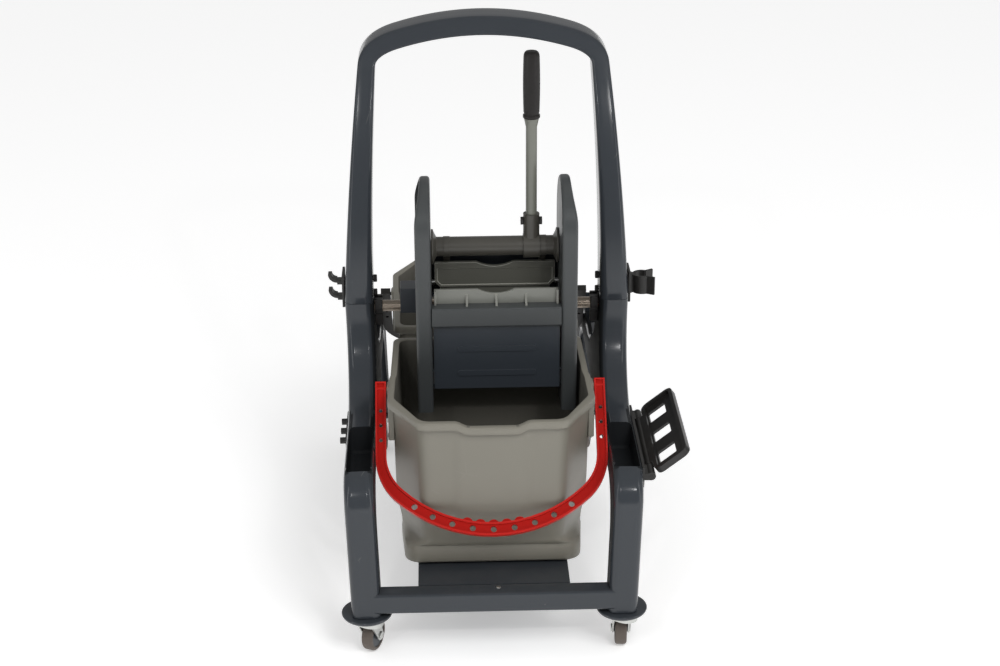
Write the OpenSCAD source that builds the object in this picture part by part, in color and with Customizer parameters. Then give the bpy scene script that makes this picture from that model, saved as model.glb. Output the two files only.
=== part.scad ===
// Double mop bucket trolley: two buckets on a swivel-caster frame, a lever wringer and a push hoop.
// Millimetres. Origin on the floor at the middle of the trolley, +X to the right seen from the
// wringer end, +Y towards the push end, +Z up.

/* [Frame] */
// Distance between the left and right caster axes
track = 380; // [340:1:440]
// Distance between the front and rear caster axes
wheelbase = 704; // [690:1:780]
// Height of the feet of the legs above the floor
leg_z = 75; // [72:0.5:90]
// Thickness of a side frame
leg_w = 44; // [38:0.5:52]
// Fore-aft depth of a leg
leg_d = 54; // [44:1:64]
// Outward lean of the side frames in degrees
side_lean = 1.65; // [0.8:0.05:2.4]
// Height of the tray rims on the shoulders
shoulder_z = 303; // [285:1:320]
// Underside of the side frames between the legs
arch_z = 250; // [220:1:262]
// Height of the joint between side frames and hoop
seam_z = 440; // [425:1:470]
// Fore-aft depth of the uprights at the joint
upright_d = 80; // [64:1:96]
// Wall of the tray pockets
tray_wall = 4; // [3:0.5:6]
// Depth of the tray pockets
tray_depth = 44; // [20:1:46]

/* [Hoop] */
// Height of the push hoop above the joint
hoop_h = 424; // [380:2:480]
// Rearward bow of the hoop at its top
hoop_setback = 115; // [60:1:140]
// Width of the hoop section at the top
hoop_top_w = 27; // [22:0.5:36]
// Fore-aft depth of the hoop section at the top
hoop_top_d = 56; // [44:1:70]
// Crown of the top bar
hoop_crown = 18; // [8:1:30]

/* [Base] */
// Height of the cross beams
beam_h = 32; // [26:1:34]
// Fore-aft depth of the cross beams
beam_d = 30; // [24:1:36]
// Gap from the feet of the legs up to the beams
beam_lift = 8; // [4:0.5:12]
// Width of the spine plate
spine_w = 226; // [180:1:250]
// Thickness of the spine plate
spine_t = 14; // [10:0.5:20]
// Diameter of the cross tube
tube_dia = 18; // [14:0.5:22]
// Height of the cross tube's axis
tube_z = 421; // [416:0.5:428]
// Fore-aft place of the cross tube
tube_y = 0; // [-1:0.25:1]

/* [Casters] */
// Wheel diameter
wheel_dia = 50; // [44:1:54]
// Tread width
wheel_w = 18; // [14:0.5:22]
// Trail of the wheel behind the swivel axis
trail = 18; // [12:0.5:24]
// Axle diameter
axle_dia = 8; // [6:0.5:10]
// Swivel pin diameter
king_dia = 10; // [8:0.5:12]
// Radius of the bumper discs
bumper_r = 38; // [32:0.5:42]
// Thickness of the bumper discs
bumper_t = 7; // [5:0.5:9]

/* [Buckets] */
// Height of the rims above the floor
rim_z = 374; // [360:1:384]
// Room beside a bail between a rim and the side frames
rim_clear = 6.5; // [6:0.25:10]
// Narrowing of a rim at its straight rear edge
rear_narrowing = 4; // [0:0.5:12]
// Narrowing of the rim to the pouring lip
lip_narrowing = 46; // [34:1:60]
// Distance from the trolley's middle to a bucket's rear edge
bucket_gap = 20; // [18:0.5:30]
// Fore-aft length of a bucket's rim
bucket_l = 318; // [300:1:330]
// Length of the tapered corners beside the lip
lip_taper = 81; // [60:1:100]
// Inward draft of the walls from rim to bottom
bucket_draft = 16; // [8:0.5:20]
// Inward draft of the front wall
lip_draft = 44; // [42:1:60]
// Wall thickness of a bucket
bucket_wall = 3; // [2.5:0.25:4]
// Height of the rim band
rim_band = 12; // [8:0.5:18]
// Height of the square plinth under a bucket's tapered body
plinth_h = 24; // [16:1:30]
// Drop of the aprons that carry the bail's pins, from the rim
apron_drop = 70; // [40:1:90]
// Height of the feet under a bucket
foot_h = 4; // [3:0.5:6]

/* [Bails] */
// Distance from a bail's pivot to the middle of its bow
bail_reach = 220; // [216:1:226]
// Width of the bail's band
bail_w = 16; // [12:0.5:18]
// Thickness of the bail
bail_t = 10; // [8:0.5:12]
// Angle of the hanging bail from straight down
bail_angle = 42; // [41:0.5:46]
// Diameter of the bail's pivot pins
bail_pin_dia = 6; // [5:0.25:7]

/* [Wringer] */
// Sideways offset of the wringer from the middle
wringer_x = 12; // [0:0.5:12]
// Distance from the rims' sides in to the plates' inner faces
plate_inset = 56; // [54:0.5:64]
// Width of the plates' flanges
flange_w = 24; // [16:0.5:24]
// Thickness of the plates' webs
web_t = 5; // [4:0.5:8]
// Fore-aft place of the plates' front edges
plate_front = -150; // [-160:1:-145]
// Top of the plates
plate_top = 658; // [640:1:690]
// Bottom of the plates
plate_bottom = 303; // [290:1:320]
// Height of the press shaft
shaft_z = 542; // [530:1:552]
// Fore-aft place of the press shaft
shaft_y = -60; // [-64:0.5:-56]
// Diameter of the press shaft
shaft_dia = 30; // [24:0.5:34]
// Length of the lever from shaft to tip
lever_l = 306; // [260:2:330]
// Distance from a plate in to the lever
lever_inset = 42; // [34:1:58]
// Angle that the lever swings through
lever_swing = 65; // [50:1:70]
// Travel of the press plate
press_travel = 53; // [46:0.5:54]

/* [Accessories] */
// Length of the grid flap
flap_l = 216; // [180:2:224]
// Width of the grid flap
flap_w = 68; // [56:1:80]
// Angle of the flap above level
flap_angle = 40; // [20:1:60]
// Radius of the mop handles that the clamp takes
handle_r = 12; // [11:0.25:13]

/* [Hidden] */
$fn = 48;

// Clearances
eps = 0.01;
fit_gap = 0.05;
air_gap = 0.3;

// Colours
slate = [0.24, 0.26, 0.28];
wringer_grey = [0.29, 0.31, 0.32];
dark_grey = [0.18, 0.20, 0.22];
bucket_grey = [0.50, 0.49, 0.46];
pale_grey = [0.55, 0.55, 0.53];
red = [0.85, 0.16, 0.12];
black = [0.12, 0.12, 0.12];
zinc = [0.72, 0.72, 0.72];

// Places worked out from the sizes above
leg_x = track / 2;
axle_y = wheelbase / 2;
leg_front = axle_y + leg_d / 2;
leg_back = axle_y - leg_d / 2;
seam_x = leg_x + (seam_z - leg_z) * tan(side_lean);
tube_r = tube_dia / 2;
beam_z = leg_z + beam_lift;
spine_top = beam_z + beam_h - 1;
bucket_z = spine_top + foot_h;
king_z = leg_z - bumper_t;
rim_half = inner_x(rim_z) - bail_w - rim_clear;
rim_rear_half = rim_half - rear_narrowing;
lip_half = rim_half - lip_narrowing;
plate_in = rim_half - plate_inset;
lever_x = plate_in - lever_inset;
plate_rear = tube_y - 4;
plate_air = 5;
plate_rear_low = -bucket_gap - bucket_draft - plate_air;
plate_out = plate_in + flange_w;
flange_t = 6;
shaft_r = shaft_dia / 2;
stub_r = shaft_r * 0.65;
pivot_y = bucket_gap + bucket_l - lip_taper - 65;
pivot_z = rim_z - 10;
ear_out = 2;
bail_gap = 1;
bail_x = rim_half + ear_out + bail_gap + bail_w / 2;
pin_r = bail_pin_dia / 2;
wheel_r = wheel_dia / 2;
axle_r = axle_dia / 2;
king_r = king_dia / 2;

// X of the right side frame's inner face at height z
function inner_x(z) = leg_x - leg_w / 2 + (z - leg_z) * tan(side_lean);

// Points of an arc about c from angle a to angle b
function arc(c, r, a, b, n = 10) =
    [for (i = [0 : n]) c + r * [cos(a + (b - a) * i / n), sin(a + (b - a) * i / n)]];

// A convex outline with each corner rounded by its own radius
function unit(v) = v / norm(v);
function corner(p, a, b, r, n) =
    let (u = unit(a - p), w = unit(b - p), half = acos(u * w) / 2, m = unit(u + w),
         c = p + m * r / sin(half), s = c + (p + u * r / tan(half) - c), e = p + w * r / tan(half),
         a0 = atan2(s[1] - c[1], s[0] - c[0]), a1 = atan2(e[1] - c[1], e[0] - c[0]),
         turn = a1 - a0 > 180 ? a1 - a0 - 360 : a1 - a0 < -180 ? a1 - a0 + 360 : a1 - a0)
    [for (i = [0 : n]) c + r * [cos(a0 + turn * i / n), sin(a0 + turn * i / n)]];
function rounded(pts, r, n = 5) = [for (i = [0 : len(pts) - 1])
    each corner(pts[i], pts[(i + len(pts) - 1) % len(pts)], pts[(i + 1) % len(pts)], r[i], n)];

// A box with its vertical edges rounded, from corner a to corner b
module slab(a, b, r = 3) {
    translate([0, 0, a[2]]) linear_extrude(b[2] - a[2])
        polygon(rounded([[a[0], a[1]], [b[0], a[1]], [b[0], b[1]], [a[0], b[1]]], [r, r, r, r]));
}

module box(a, b) {
    translate(a) cube(b - a);
}

// Extrudes a fore-aft profile given as [y, z] sideways from x0 to x1
module sideways(x0, x1) {
    translate([x0, 0, 0]) rotate([90, 0, 90]) linear_extrude(x1 - x0) children();
}

module both_sides() {
    children();
    mirror([1, 0, 0]) children();
}

// Stands its children on the leaning right side: local x is 0 in the middle of the side frame
module on_right_side() {
    translate([leg_x, 0, leg_z]) rotate([0, side_lean, 0]) translate([0, 0, -leg_z]) children();
}

// Base: two cross beams and the spine plate that carries the buckets
module beam() {
    end = inner_x(beam_z);
    color(slate) sideways(-end, end) polygon(rounded(
        [[-leg_front + beam_d, beam_z], [-leg_front + beam_d, beam_z + beam_h],
         [-leg_front, beam_z + beam_h], [-leg_front, beam_z]], [3, 3, 3, 3]));
}

module front_beam() { beam(); }

module rear_beam() { rotate([0, 0, 180]) beam(); }

module base_spine() {
    end = leg_front - beam_d;
    rib_t = 8;
    color(slate) {
        slab([-spine_w / 2, -end, spine_top - spine_t], [spine_w / 2, end, spine_top], 2);
        for (x = [-spine_w / 2, spine_w / 2 - rib_t])
            box([x, -end, beam_z], [x + rib_t, end, spine_top - spine_t + eps]);
    }
}

// Half of a side frame's profile: leg, shoulder and sweep up to the upright
sweep_r = seam_z - shoulder_z - 8;
shoulder_r = 56;
arch_r = 56;
trim = 20;
function half_profile() = concat(
    [[0, seam_z + trim], [-upright_d / 2, seam_z + trim]],
    arc([-upright_d / 2 - sweep_r, shoulder_z + sweep_r], sweep_r, 0, -90, 14),
    arc([-leg_front + shoulder_r, shoulder_z - shoulder_r], shoulder_r, 90, 180, 10),
    [[-leg_front, leg_z - trim], [-leg_back, leg_z - trim]],
    arc([-leg_back + arch_r, arch_z - arch_r], arch_r, 180, 90, 10),
    [[0, arch_z]]);

tray_y0 = leg_front - 40;
tray_y1 = upright_d / 2 + sweep_r + 26;

module side_frame() {
    color(slate) difference() {
        on_right_side() difference() {
            for (m = [0, 1]) mirror([0, m, 0]) sideways(-leg_w / 2, leg_w / 2) polygon(half_profile());
            for (m = [0, 1]) mirror([0, m, 0])
                slab([-leg_w / 2 + tray_wall, -tray_y0, shoulder_z - tray_depth],
                     [leg_w / 2 - tray_wall, -tray_y1, shoulder_z + trim], 5);
        }
        box([0, -leg_front - trim, 0], [leg_x * 2, leg_front + trim, leg_z]);
        box([0, -leg_front, seam_z], [leg_x * 2, leg_front, seam_z + 2 * trim]);
    }
}

module right_side_frame() { side_frame(); }

module left_side_frame() { mirror([1, 0, 0]) side_frame(); }

// Push hoop: one closed form swept up the sides and over the crowned top bar
hoop_lean = 1.5;
hoop_side_bow = 10.5;
hoop_side_v = hoop_h - 68;
hoop_bar_v = hoop_h - hoop_top_w / 2;
hoop_bar_u = seam_x - 66;
hoop_rings = 12;
function hoop_side(v) = [seam_x - v * tan(hoop_lean) - hoop_side_bow * pow(v / hoop_side_v, 2), v];
function hoop_bar(u) = [u, hoop_bar_v - hoop_crown * pow(u / hoop_bar_u, 2)];
function hoop_corner_point() =
    let (p = hoop_side(hoop_side_v), e = hoop_bar(hoop_bar_u),
         sp = -tan(hoop_lean) - 2 * hoop_side_bow / hoop_side_v, se = -2 * hoop_crown / hoop_bar_u,
         v = (e[1] + se * (p[0] - sp * p[1] - e[0])) / (1 - se * sp))
    [p[0] + sp * (v - p[1]), v];
function hoop_corner(t) =
    let (p = hoop_side(hoop_side_v), c = hoop_corner_point(), e = hoop_bar(hoop_bar_u))
    (1 - t) * (1 - t) * p + 2 * t * (1 - t) * c + t * t * e;
hoop_half = concat(
    [for (i = [0 : hoop_rings - 1]) hoop_side(hoop_side_v * i / hoop_rings)],
    [for (i = [0 : 8]) hoop_corner(i / 9)],
    [for (i = [0 : 5]) hoop_bar(hoop_bar_u * (1 - i / 6))]);
hoop_path = concat(hoop_half, [[0, hoop_bar_v]],
    [for (i = [len(hoop_half) - 1 : -1 : 0]) [-hoop_half[i][0], hoop_half[i][1]]]);
section_points = 20;
function squircle(a) = [sign(cos(a)) * pow(abs(cos(a)), 0.5), sign(sin(a)) * pow(abs(sin(a)), 0.5)];
function hoop_setback_at(v) = hoop_setback * v * v / (hoop_h * hoop_h);
function hoop_ring(i) =
    let (p = hoop_path[i], last = len(hoop_path) - 1,
         t = i == 0 ? [0, 1] : i == last ? [0, -1] : unit(hoop_path[i + 1] - hoop_path[i - 1]),
         n = [t[1], -t[0]], k = min(1, p[1] / hoop_side_v),
         w = leg_w + (hoop_top_w - leg_w) * k, d = upright_d + (hoop_top_d - upright_d) * k)
    [for (j = [0 : section_points - 1])
        let (s = squircle(360 * j / section_points), q = p + n * s[0] * w / 2)
        [q[0], s[1] * d / 2 + hoop_setback_at(max(0, q[1])), seam_z + max(0, q[1])]];

module push_hoop() {
    rings = len(hoop_path);
    m = section_points;
    points = [for (i = [0 : rings - 1]) each hoop_ring(i)];
    sides = [for (i = [0 : rings - 2], j = [0 : m - 1]) each
        [[i * m + j, i * m + (j + 1) % m, (i + 1) * m + j],
         [i * m + (j + 1) % m, (i + 1) * m + (j + 1) % m, (i + 1) * m + j]]];
    caps = [[for (j = [m - 1 : -1 : 0]) j], [for (j = [0 : m - 1]) (rings - 1) * m + j]];
    color(slate) polyhedron(points, concat(sides, caps), convexity = 6);
}

// Steel tube between the side frames, with two saddle clips
module cross_tube() {
    end = inner_x(tube_z - tube_r);
    color(zinc) translate([-end, tube_y, tube_z]) rotate([0, 90, 0]) difference() {
        cylinder(h = 2 * end, r = tube_r);
        translate([0, 0, -1]) cylinder(h = 2 * end + 2, r = tube_r - 1.5);
    }
}

module tube_clips() {
    w = 12;
    wall = 4;
    horn = 6;
    tail = 22;
    side_gap = 0.5;
    x = inner_x(tube_z - tube_r - tail) - side_gap - w;
    color(black) both_sides() translate([x, tube_y, tube_z]) sideways(0, w) {
        difference() {
            union() {
                circle(r = tube_r + wall);
                translate([-tube_r - wall, 0]) square([wall * 1.5, tube_r + horn]);
                translate([tube_r - wall / 2, 0]) square([wall * 1.5, tube_r + horn]);
                translate([-wall, -tube_r - tail]) square([2 * wall, tail]);
            }
            circle(r = tube_r);
        }
    }
}

// Round bumper under each leg, and the caster's top plate with its swivel pin
module at_casters() {
    for (x = [-leg_x, leg_x], y = [-axle_y, axle_y]) translate([x, y, 0]) children();
}

module corner_bumpers() {
    lip = 1.5;
    color(dark_grey) at_casters() translate([0, 0, king_z]) rotate_extrude()
        polygon([[0, 0], [bumper_r - lip, 0], [bumper_r, lip], [bumper_r, bumper_t - lip],
                 [bumper_r - lip, bumper_t], [0, bumper_t]]);
}

crown_r = 20;
crown_z = king_z - 11;
crown_t = 5;
module caster_stems() {
    head_h = 3;
    top_t = 3;
    race_z = crown_z + crown_t + fit_gap;
    color(zinc) at_casters() {
        translate([0, 0, king_z - top_t]) cylinder(h = top_t, r = crown_r + 1);
        translate([0, 0, crown_z - head_h]) cylinder(h = king_z - crown_z + head_h, r = king_r);
        translate([0, 0, race_z]) cylinder(h = king_z - race_z, r = crown_r - 5);
        translate([0, 0, crown_z - head_h - fit_gap]) cylinder(h = head_h, r = king_r + 3);
    }
}

// One swivel caster, drawn with its swivel axis on Z and the wheel forward of it
fork_gap = 1.5;
fork_t = 2.5;
fork_in = wheel_w / 2 + fork_gap;
module fork() {
    boss_r = axle_r + 4;
    cheek_rear = 13;
    cheek_front = -16;
    color(zinc) {
        difference() {
            union() {
                translate([0, 0, crown_z]) cylinder(h = crown_t, r = crown_r);
                both_sides() sideways(fork_in, fork_in + fork_t) difference() {
                    union() {
                        polygon([[-trail - boss_r, wheel_r], [-trail + boss_r, wheel_r - 3],
                                 [cheek_rear, crown_z + 1], [cheek_rear, crown_z + crown_t],
                                 [cheek_front, crown_z + crown_t], [cheek_front, crown_z + 1]]);
                        translate([-trail, wheel_r]) circle(r = boss_r);
                    }
                    translate([-trail, wheel_r]) circle(r = axle_r);
                }
            }
            translate([0, 0, crown_z - 1]) cylinder(h = crown_t + 2, r = king_r + fit_gap);
        }
    }
}

module axle() {
    half = fork_in + fork_t;
    head = 2;
    color(zinc) translate([0, -trail, wheel_r]) rotate([0, 90, 0]) {
        translate([0, 0, -half]) cylinder(h = 2 * half, r = axle_r);
        for (z = [-half - head, half]) translate([0, 0, z]) cylinder(h = head, r = axle_r + 2);
    }
}

hub_r = wheel_r - 6;
module hub() {
    half = wheel_w / 2 + fork_gap - air_gap;
    color(pale_grey) translate([0, -trail, wheel_r]) rotate([0, 90, 0]) difference() {
        union() {
            translate([0, 0, -wheel_w / 2 + 1]) cylinder(h = wheel_w - 2, r = hub_r);
            translate([0, 0, -half]) cylinder(h = 2 * half, r = axle_r + 2.5);
        }
        translate([0, 0, -half - 1]) cylinder(h = 2 * half + 2, r = axle_r + fit_gap);
    }
}

module tyre() {
    round_r = 4;
    w = wheel_w / 2;
    color([0.22, 0.20, 0.19]) translate([0, -trail, wheel_r]) rotate([0, 90, 0]) rotate_extrude()
        polygon(concat([[hub_r, -w]], arc([wheel_r - round_r, -w + round_r], round_r, -90, 0, 6),
                       arc([wheel_r - round_r, w - round_r], round_r, 0, 90, 6), [[hub_r, w]]));
}

// Rest heading of each caster in degrees about its swivel axis
function caster_heading(c) = c == "front_left" ? 156 : c == "front_right" ? 176 : c == "rear_left" ? 12 : -10;
module at_caster(c) {
    x = c[len(c) - 4] == "l" ? -leg_x : leg_x;
    y = c[0] == "f" ? -axle_y : axle_y;
    translate([x, y, 0]) rotate([0, 0, caster_heading(c)]) children();
}

// Bucket outlines in plan, drawn for the front bucket, drawn in by d all round
lip_share = 0.4;
function rim_outline(d, front = 0, lip = lip_half) =
    let (y0 = -bucket_gap - d, y1 = -bucket_gap - bucket_l + d + front, yt = y1 + lip_taper)
    rounded([[rim_rear_half - d, y0], [-rim_rear_half + d, y0], [-rim_half + d, yt],
             [-lip + d * lip_share, y1], [lip - d * lip_share, y1], [rim_half - d, yt]],
            [14, 14, 20, 22, 22, 20]);

// Tapered tub between two heights; the rim band overhangs it by rim_in
rim_in = 7;
module tub(top_z, bottom_z, d) {
    lip_in = lip_draft - bucket_draft;
    hull() {
        translate([0, 0, top_z - 1]) linear_extrude(1) polygon(rim_outline(rim_in + d));
        translate([0, 0, bottom_z]) linear_extrude(1) polygon(rim_outline(bucket_draft + d, lip_in));
    }
}

// Squarer foot of a tub: its front corners slope back into the tapered body above
plinth_taper = 6;
plinth_slope = 22;
module plinth(bottom_z, top_z, d) {
    lip_in = lip_draft - bucket_draft;
    lip = rim_half - plinth_taper - bucket_draft * (1 - lip_share);
    hull() {
        translate([0, 0, bottom_z]) linear_extrude(top_z - bottom_z)
            polygon(rim_outline(bucket_draft + d, lip_in, lip));
        translate([0, 0, top_z + plinth_slope]) linear_extrude(1)
            polygon(rim_outline(bucket_draft + d, lip_in));
    }
}

ear_d = 24;
ear_t = 16;
apron_t = 16;
apron_front = 56;
module bucket() {
    spout_r = 62;
    spout_dip = 8;
    lip_y = -bucket_gap - bucket_l;
    color(bucket_grey) difference() {
        union() {
            tub(rim_z, bucket_z, 0);
            plinth(bucket_z, bucket_z + plinth_h, 0);
            translate([0, 0, rim_z - rim_band]) linear_extrude(rim_band) polygon(rim_outline(0));
            both_sides() {
                slab([rim_half + ear_out - ear_t, -pivot_y - ear_d / 2, pivot_z - ear_d / 2],
                     [rim_half + ear_out, -pivot_y + ear_d / 2, rim_z - 2], 4);
                box([rim_half - apron_t, -pivot_y - apron_front, rim_z - apron_drop],
                    [rim_half, -pivot_y + ear_d, rim_z - rim_band + eps]);
            }
        }
        tub(rim_z + 2, bucket_z + bucket_wall, bucket_wall);
        plinth(bucket_z + bucket_wall, bucket_z + plinth_h - bucket_wall, bucket_wall);
        translate([0, lip_y - 1, rim_z + spout_r - spout_dip]) rotate([-90, 0, 0])
            cylinder(h = 60, r = spout_r);
    }
}

module bucket_pins() {
    inner = rim_half + ear_out;
    outer = bail_x + bail_w / 2;
    color(red) for (s = [0, 1]) mirror([s, 0, 0]) translate([inner, -pivot_y, pivot_z]) rotate([0, 90, 0])
        cylinder(h = outer - inner, r = pin_r);
}

module bucket_feet() {
    foot_r = 9;
    reach = spine_w / 2 - 14;
    color(black) for (x = [-reach, reach], y = [-bucket_gap - 52, -bucket_gap - bucket_l + lip_draft + 20])
        translate([x, y, spine_top]) cylinder(h = foot_h, r = foot_r);
}

// Bail in its own plane: local x across, local y down along the arms, pivot line at y 0
bail_head = 10;
bail_bow_r = 206;
bail_corner_r = 80;
bow_swell = 0.25;
bow_half = bail_w / 2 * (1 + bow_swell);
bail_bow_a = asin((bail_x - bail_corner_r) / (bail_bow_r - bail_corner_r));
bail_arm = bail_reach - bail_bow_r + (bail_bow_r - bail_corner_r) * cos(bail_bow_a);
function bail_bend(o, k) = [bail_x - bail_corner_r, bail_arm] +
    (bail_corner_r + o * (1 + bow_swell * k)) * [cos((90 - bail_bow_a) * k), sin((90 - bail_bow_a) * k)];
function bail_line(o) = concat(
    [[bail_x + o, -bail_head]],
    [for (i = [0 : 8]) bail_bend(o, i / 8)],
    arc([0, bail_reach - bail_bow_r], bail_bow_r + o * (1 + bow_swell), 90 - bail_bow_a, 90, 8));
function bail_band(o, i, start) = concat(
    [for (p = bail_line(o)) p[1] < start ? [p[0], start] : p],
    [for (k = [len(bail_line(i)) - 1 : -1 : 0]) let (p = bail_line(i)[k]) p[1] < start ? [p[0], start] : p]);

// Groove in the bail's outer face, with the row of holes in it
module bail_cuts() {
    groove = 3;
    end_wall = 2.5;
    edge = bail_w / 2 - 2.5;
    arm_hole_r = 3;
    arm_hole_step = 23;
    bow_hole_r = 4.5;
    bow_hole_step = 8.6;
    translate([0, 0, bail_t / 2 - groove]) linear_extrude(groove + 1)
        polygon(bail_band(edge, -edge, end_wall - bail_head));
    for (i = [1 : 3]) translate([bail_x, 12 + i * arm_hole_step, -bail_t])
        cylinder(h = 2 * bail_t, r = arm_hole_r);
    for (i = [0 : 4]) translate([0, bail_reach - bail_bow_r, -bail_t]) rotate([0, 0, -i * bow_hole_step])
        translate([0, bail_bow_r, 0]) cylinder(h = 2 * bail_t, r = bow_hole_r);
}

// Bail: a channel with a bore for each pin and a waved finger grip in the middle of its bow
module bail(tint) {
    waves = 5;
    wave_step = 5.6;
    wave_r = 9;
    wave_sink = 4.5;
    wave_t = bail_t - 4;
    color(tint) translate([0, -pivot_y, pivot_z]) rotate([90 - bail_angle, 0, 0]) rotate([0, 0, 180])
        difference() {
            union() {
                both_sides() linear_extrude(bail_t, center = true)
                    polygon(bail_band(bail_w / 2, -bail_w / 2, -bail_head));
                translate([0, bail_reach - bail_bow_r, -wave_t / 2]) for (i = [1 : waves])
                    rotate([0, 0, (i - (waves + 1) / 2) * wave_step])
                        translate([0, bail_bow_r - bow_half + wave_sink, 0])
                            cylinder(h = wave_t, r = wave_r);
            }
            both_sides() bail_cuts();
            translate([-bail_x * 2, 0, 0]) rotate([0, 90, 0]) cylinder(h = bail_x * 4, r = pin_r + fit_gap);
        }
}

// Wringer plate: flanged web with a round top, a foot inside the bucket and the shaft's bearing
plate_head_r = (plate_rear - plate_front) / 2;
plate_step_z = tube_z + tube_r + 8;
module plate_outline(d) {
    mid = (plate_front + plate_rear) / 2;
    translate([mid, plate_top - plate_head_r]) circle(r = plate_head_r - d);
    translate([plate_front + d, plate_step_z + d])
        square([plate_rear - plate_front - 2 * d, plate_top - plate_head_r - plate_step_z - d]);
    translate([plate_front + d, plate_bottom + d])
        square([plate_rear_low - plate_front - 2 * d, plate_step_z - plate_bottom]);
}

bearing_r = stub_r + 7;
slot_z = shaft_z - 64;
guide_r = 4;
crank_lean = lever_swing / 2;
crank_r = press_travel / 2 / sin(lever_swing / 2);
roller_r = 7;
press_t = 8;
press_y = shaft_y + crank_r * sin(crank_lean) - roller_r - 1 - press_t;
module wringer_plate() {
    guide_y = press_y + press_t / 2;
    guide_gap = guide_r + air_gap;
    sideways(plate_in, plate_in + web_t) difference() {
        plate_outline(0);
        translate([shaft_y, shaft_z]) circle(r = stub_r + fit_gap);
        translate([guide_y, slot_z]) circle(r = guide_gap);
        translate([guide_y - press_travel - 1, slot_z - guide_gap]) square([press_travel + 1, 2 * guide_gap]);
        translate([guide_y - press_travel - 1, slot_z]) circle(r = guide_gap);
    }
    sideways(plate_in + web_t - eps, plate_out) difference() {
        plate_outline(0);
        plate_outline(flange_t);
    }
    sideways(plate_in + web_t - eps, plate_out - 4) translate([shaft_y, shaft_z]) difference() {
        circle(r = bearing_r);
        circle(r = stub_r + fit_gap);
    }
}

module wringer_right_plate() { color(wringer_grey) translate([wringer_x, 0, 0]) wringer_plate(); }

module wringer_left_plate() {
    color(wringer_grey) translate([wringer_x, 0, 0]) mirror([1, 0, 0]) wringer_plate();
}

wr_beam_z = tube_z + 23;
wr_beam_h = 31;
wr_beam_d = 22;
module wringer_beam() {
    color(wringer_grey) translate([wringer_x, 0, 0]) sideways(-plate_in, plate_in) polygon(rounded(
        [[plate_front, wr_beam_z], [plate_front, wr_beam_z + wr_beam_h],
         [plate_front + wr_beam_d, wr_beam_z + wr_beam_h], [plate_front + wr_beam_d, wr_beam_z]],
        [3, 3, 1, 1]));
}

skirt_y = plate_front + 9;
skirt_t = 4;
skirt_low = plate_bottom + 36;
module wringer_skirt() {
    side_gap = 2;
    w = plate_in - side_gap;
    rib_h = 1.5;
    rib_l = 60;
    rib_w = 4.5;
    peg_r = 1.8;
    color(dark_grey) translate([wringer_x, 0, 0]) {
        box([-w, skirt_y, skirt_low], [w, skirt_y + skirt_t, wr_beam_z]);
        for (z = [skirt_low + 26, skirt_low + 66]) translate([0, skirt_y + 1, z]) rotate([90, 0, 0])
            linear_extrude(1 + rib_h) polygon(rounded([[-rib_l, -rib_w], [rib_l, -rib_w], [rib_l, rib_w],
                [-rib_l, rib_w]], [4, 4, 4, 4]));
        both_sides() translate([w, skirt_y + skirt_t / 2, skirt_low + 30]) rotate([0, 90, 0])
            cylinder(h = side_gap, r = peg_r);
    }
}

// Fixed squeeze plate behind the beam: upright top with gussets, slanted lower part
fixed_y = plate_front + wr_beam_d;
fixed_rise = 22;
fixed_top = wr_beam_z + wr_beam_h + fixed_rise;
module wringer_fixed_plate() {
    w = plate_in - 4;
    t = 5;
    notch_r = 60;
    notch_dip = 7;
    drop = 70;
    low = wr_beam_z - drop;
    slant = 28;
    gusset_x = 45;
    gusset = 14;
    color(pale_grey) translate([wringer_x, 0, 0]) {
        difference() {
            sideways(-w, w) polygon([[fixed_y, wr_beam_z], [fixed_y, fixed_top], [fixed_y + t, fixed_top],
                [fixed_y + t, wr_beam_z], [fixed_y + t + slant, low], [fixed_y + slant, low]]);
            translate([0, fixed_y - 1, fixed_top + notch_r - notch_dip]) rotate([-90, 0, 0])
                cylinder(h = t + 2, r = notch_r);
        }
        for (x = [-gusset_x, 0, gusset_x]) sideways(x - 1.5, x + 1.5)
            polygon([[fixed_y + eps, wr_beam_z + wr_beam_h], [fixed_y - gusset, wr_beam_z + wr_beam_h],
                [fixed_y + eps, fixed_top - notch_dip - 1]]);
        for (s = [-1, 1]) box([s * (w - 1.5) - 1.5, fixed_y - 8, wr_beam_z + wr_beam_h],
                              [s * (w - 1.5) + 1.5, fixed_y + eps, fixed_top]);
        for (s = [-1, 1]) translate([s * w, fixed_y + t / 2, wr_beam_z + 18]) rotate([0, s * 90, 0])
            cylinder(h = plate_in - w, r = 2);
    }
}

module wringer_rear_tie() {
    t = 5;
    color(dark_grey) translate([wringer_x, 0, 0]) {
        box([-plate_in, plate_rear - 8 - t, plate_step_z + 6], [plate_in, plate_rear - 8, shaft_z - 10]);
        for (z = [plate_step_z + 6, shaft_z - 14])
            box([-plate_in, plate_rear - 16 - t, z], [plate_in, plate_rear - 8 - t + eps, z + 4]);
    }
}

// Slotted drip floor between the plates, hidden behind the skirt
module wringer_strainer() {
    t = 5;
    z = skirt_low + 2;
    y0 = skirt_y + skirt_t;
    y1 = plate_rear_low - flange_t - 2;
    slots = 9;
    pitch = (2 * plate_in - 20) / slots;
    color(dark_grey) translate([wringer_x, 0, 0]) difference() {
        box([-plate_in, y0, z], [plate_in, y1, z + t]);
        for (i = [0 : slots - 1]) slab([-plate_in + 10 + (i + 0.22) * pitch, y0 + 12, z - 1],
                                       [-plate_in + 10 + (i + 0.78) * pitch, y1 - 12, z + t + 1], 3);
    }
}

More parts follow.
